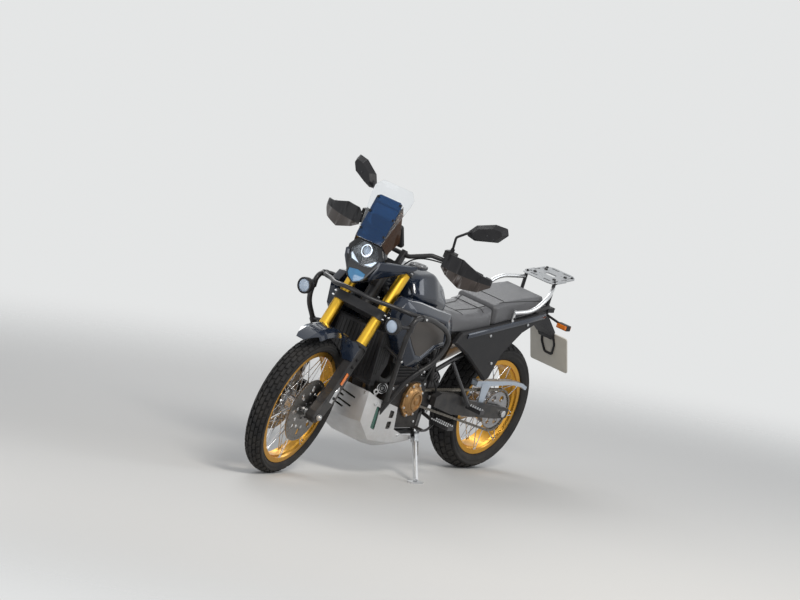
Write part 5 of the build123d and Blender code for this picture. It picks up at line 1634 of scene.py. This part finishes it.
def makeGrips():
    start, end = Vector(barTrim["gripIn"]), Vector(barTrim["gripOut"])
    axis = (end - start).normalized()
    ribs, ends, spots = [], [], []
    for side in (1, -1):
        turned = Vector((axis.x, side * axis.y, axis.z))
        for k in range(14):
            place = start + axis * (44 + 7 * k)
            ribs.append(knob([(16.5, -1.6), (18, -1.1), (18, 1.1), (16.5, 1.6), (12, 1.6), (12, -1.6), (16.5, -1.6)],
                             (place.x, side * place.y, place.z), tuple(turned), 28))
        place = start + Vector((18, -26, 51.5))
        ends.append(knob([(15, 0), (15, 2.5), (13, 3.5), (0.4, 3.5)], (place.x + 12, side * place.y - 8 * side, place.z), (0, 0, 1), 24))
        for u in (-12, 12):
            spots.append(((place.x + u, side * (place.y - 20), place.z + 1), (0, 0, 1)))
    joinAll(ribs)
    settle("gripRibs", "gripRubber", "steering", 50)
    joinAll(ends)
    settle("cupCaps", "satinBlack", "steering")
    bolts("cupScrews", "brightAlloy", spots, 3, "steering")
    tee = [onFork(-45, side * 42 + dy, 900 + 1) for side in (1, -1) for dy in (-8, 8)]
    bolts("clampBolts", "darkAlloy", [(place, tuple(Vector(onFork(0, 0, 1)) - Vector(onFork(0, 0, 0)))) for place in tee], 5, "steering")
    for side, name in ((1, "leftCable"), (-1, "rightCable")):
        route = [(1036, 248, 1146), (1052, 180, 1140), (1058, 110, 1126), (1066, 62, 1090), (1078, 44, 1046)]
        hose([(x, side * y, z) for x, y, z in route], 3.4, name, "gripRubber", "steering")


makeGuards()
makeMirrors()
makeGrips()
print("handlebar trim")

# Tail: blank number plate, red lens, amber lenses, hanger ribs, panel bolts
tail = {
    "plate": (-458, 0, 618),
    "normal": (-0.876, 0, 0.482),
    "up": (0.482, 0, 0.876),
    "half": (116, 103),
    "indicator": (-264, 164.3, 796),
}


def onPlate(across, up, out):
    lift, face = Vector(tail["up"]).normalized(), Vector(tail["normal"]).normalized()
    return Vector(tail["plate"]) + Vector((0, across, 0)) + lift * up + face * out


def makeTail():
    wide, tall = tail["half"]
    outline = roundedBox(2 * wide, 2 * tall, 11)
    rows = [[tuple(onPlate(u, v, out)) for u, v in outline] for out in (-0.8, 6.2)]
    skin(rows)
    soften(0.8, 2)
    settle("numberPlate", "plateBlank")
    ribs = []
    for side in (1, -1):
        ribs.append(skin([[tuple(onPlate(side * u, v, out)) for u, v in ((26, 96), (38, 96), (30, -8), (20, -2))] for out in (6.3, 12)]))
        soften(1.5, 2)
    ribs.append(skin([[tuple(onPlate(u, v, out)) for u, v in ((-28, 6), (28, 6), (20, -10), (-20, -10))] for out in (6.3, 12)]))
    soften(1.5, 2)
    ring = [(-34, 92), (34, 92), (40, 40), (22, -22), (-22, -22), (-40, 40)]
    loop = [tuple(onPlate(u, v, -4)) for u, v in ring + ring[:2]]
    ribs.append(bar(loop, 6, 10))
    joinAll(ribs)
    settle("plateFrame", "mouldedBlack")
    bolts("plateBolts", "brightAlloy", [(tuple(onPlate(u, v, 8)), tail["normal"]) for u in (-70, 70) for v in (70, -70)], 5)
    skin([[(-318.5 + d, y, z) for y, z in ((-46, 829), (46, 829), (46, 847), (-46, 847))] for d in (3, -7)])
    soften(3, 3)
    settle("tailLens", "redLens")
    x, y, z = tail["indicator"]
    lenses = []
    for side in (1, -1):
        for step, reach in ((1, 15), (-1, -15)):
            rows = []
            for out, shrink in ((0, 0), (5, 0), (8, 4)):
                rows.append([(x + step * (17 + out), side * y + u, z + v)
                             for u, v in roundedBox(58 - 2 * shrink, 22 - 2 * shrink, 4, 3)])
            lenses.append(skin(rows))
    joinAll(lenses)
    settle("indicatorLenses", "amberLens")
    spots = [((px, side * 153.5, pz), (0, side, 0)) for px, pz in ((330, 742), (250, 600), (40, 800)) for side in (1, -1)]
    bolts("tailBolts", "brightAlloy", spots, 7)
    blades = []
    for side in (1, -1):
        inner = [(520, 127, 752), (300, 127, 788), (60, 127, 829), (-92, 127, 858)]
        rows = []
        for px, py, pz in inner:
            rows.append([(px, side * 152, pz - 26), (px, side * 156, pz - 24), (px, side * 158, pz - 6), (px, side * 153, pz + 1), (px, side * 148, pz)])
        blades.append(skin(rows))
        soften(1.5, 2, 20)
    joinAll(blades)
    settle("tailBlades", "tankBlue", angle=50)


makeTail()
print("tail")

# Mechanical trim: coil spring, horn, header wrap, silencer shield, pedals, peg teeth, frame bolts
def coil(low, high, radius, wire, turns):
    low, high = Vector(low), Vector(high)
    axis = high - low
    lay = facing(axis).to_3x3()
    steps = turns * 18
    points = []
    for k in range(steps + 1):
        turn = 2 * pi * k / 18
        points.append(low + axis * k / steps + lay @ Vector((radius * cos(turn), radius * sin(turn), 0)))
    return bar(points, wire, 0.5)


def makeMechanics():
    low, high = Vector((438, 0, 438)), Vector((626, 0, 592))
    along = (high - low).normalized()
    coil(low + along * 40, high - along * 46, 35, 5, 8)
    settle("shockSpring", "darkAlloy", angle=60)
    coil((700, 174, 212), (738, 222, 158), 5, 1.3, 14)
    settle("standSpring", "chainSteel", "side_stand", 60)
    hornAt, hornOut = (1062, 128, 470), (0.55, 0.83, 0)
    knob([(31, -10), (31, 5), (26, 8), (0.4, 8)], hornAt, hornOut, 44)
    joinAll([bpy.context.object, bar([(1056, 122, 470), (1074, 96, 500)], 5)])
    settle("hornDrum", "satinBlack", angle=30)
    made = [knob([(outer, 8), (outer, 9.6), (inner, 9.6), (inner, 8), (outer, 8)], hornAt, hornOut, 44)
            for outer, inner in ((27, 23.5), (17, 14.5), (8, 0.4))]
    joinAll(made)
    settle("hornRings", "brightAlloy", angle=30)
    wraps = []
    for side in (1, -1):
        wraps.append(bar([(1098, side * 52, 626), (1081, side * 57, 450), (1070, side * 56, 400)], 20.2, 30))
    joinAll(wraps)
    settle("headerWraps", "bronzeCover", angle=60)
    start, end = Vector((330, -214, 468)) + Vector((30, 2, -9)), Vector((-70, -236, 583))
    axis = (end - start).normalized()
    bands = [bar([start.lerp(end, t) - axis * 9, start.lerp(end, t) + axis * 9], 53.6, 1) for t in (0.12, 0.86)]
    joinAll(bands)
    settle("silencerBands", "darkAlloy", angle=40)
    lay = facing(axis).to_3x3()
    rows = []
    for t in (0.2, 0.3, 0.7, 0.8):
        place = start.lerp(end, t)
        wide = 42 if 0.25 < t < 0.75 else 30
        rim = []
        for reach in (57.5, 53.2):
            turns = [wide * (1 - 2 * k / 8) for k in range(9)]
            for turn in (turns if reach > 55 else reversed(turns)):
                side = Vector((0, -1, 0))
                side = (side - axis * side.dot(axis)).normalized()
                upward = axis.cross(side)
                rim.append(tuple(place + (side * cos(radians(turn)) + upward * sin(radians(turn))) * reach))
        rows.append(rim)
    skin(rows)
    settle("heatShield", "brightAlloy", angle=50)
    teeth = []
    for side in (1, -1):
        for k in range(9):
            for x in (569, 611):
                teeth.append(knob([(4.5, 0), (3.6, 6), (0.4, 7)], (x, side * (158 + 12 * k), 316.5), (0, 0, 1), 4))
        for k in range(6):
            for x in (317, 343):
                teeth.append(knob([(4, 0), (3.2, 4), (0.4, 5)], (x, side * (160 + 14 * k), 387.5), (0, 0, 1), 4))
    joinAll(teeth)
    settle("pegTeeth", "brightAlloy", angle=0)
    joinAll([bar([(592, 158, 288), (640, 166, 262), (716, 168, 262), (742, 170, 280)], 6, 24), bar([(740, 158, 280), (740, 208, 280)], 8, 1)])
    settle("gearLever", "darkAlloy", angle=50)
    joinAll([bar([(592, -158, 288), (650, -172, 270), (738, -178, 272), (748, -178, 280)], 6, 24), bar([(742, -160, 280), (742, -216, 280)], 9, 1)])
    settle("brakePedal", "darkAlloy", angle=50)
    spots = []
    for side in (1, -1):
        for x, z in ((572, 400), (572, 330)):
            spots.append(((x, side * 84, z), (0, side, 0)))
    bolts("pivotBolts", "brightAlloy", spots, 12)
    adjusters = []
    for side in (1, -1):
        adjusters.append(bar([(-30, side * 121, 333), (-52, side * 121, 333)], 4))
        adjusters.append(knob([(17, 0), (17, 8), (14, 10), (0.4, 10)], (0, side * 144, 333), (0, side, 0), 6))
    joinAll(adjusters)
    settle("chainAdjusters", "brightAlloy")


makeMechanics()
print("mechanical trim")

# Engine dress: case ribs, cylinder fins, head cover bolts, hoses, a clutch cable and hose clamps
def makeEngineDress():
    fins, ribs, spots = [], [], []
    for side in (1, -1):
        for k in range(9):
            z = 522 + 15 * k
            front, back = 980 + 0.295 * (z - 470) - 12, 790 + 0.255 * (z - 495) + 14
            rows = [[(back, side * 117, z - 2.4), (front, side * 117, z - 2.4), (front, side * 117, z + 2.4), (back, side * 117, z + 2.4)],
                    [(back + 4, side * 127, z - 1.4), (front - 4, side * 127, z - 1.4), (front - 4, side * 127, z + 1.4), (back + 4, side * 127, z + 1.4)]]
            fins.append(skin(rows))
        for x0, z0, x1, z1 in ((905, 350, 1010, 300), (905, 400, 1022, 380), (900, 450, 1006, 462), (870, 300, 935, 280)):
            ribs.append(bar([(x0, side * 137, z0), (x1, side * 137, z1)], 4))
        for x, z in ((1006, 432), (985, 470), (880, 486), (735, 300), (735, 490)):
            spots.append(((x, side * 139.6, z), (0, side, 0)))
        for x, z in ((900, 672), (1000, 664), (1012, 700), (890, 712)):
            spots.append(((x, side * 119.5, z), (0, side, 0)))
    for k in range(3):
        ribs.append(knob([(15, 0), (15, 7), (12, 9), (0.4, 9)], (930 + 32 * k, 117, 700), (0, 1, 0), 24))
    joinAll(fins)
    settle("cylinderFins", "engineCast")
    joinAll(ribs)
    settle("caseRibs", "engineCast", angle=50)
    bolts("engineBolts", "brightAlloy", spots, 6)
    hose([(1150, 132, 540), (1110, 150, 500), (1050, 154, 520), (1020, 140, 560), (1010, 112, 580)], 13, "lowerHose", "gripRubber")
    hose([(1140, -120, 724), (1090, -140, 720), (1040, -128, 680), (1010, -108, 650)], 13, "upperHose", "gripRubber")
    hose([(760, 142, 500), (730, 150, 560), (700, 140, 640), (690, 118, 720)], 5, "clutchCable", "gripRubber")
    hose([(640, 120, 500), (600, 128, 470), (560, 100, 430), (540, 84, 380)], 5, "breatherHose", "gripRubber")
    clamps = []
    for place, out in (((1146, 134, 536), (0.7, -0.3, 0.6)), ((1136, -122, 723), (0.9, 0.3, 0.05))):
        clamps.append(knob([(14.6, -4), (14.6, 4), (12, 4), (12, -4), (14.6, -4)], place, out, 28))
    joinAll(clamps)
    settle("hoseClamps", "brightAlloy")


makeEngineDress()
print("engine dress")
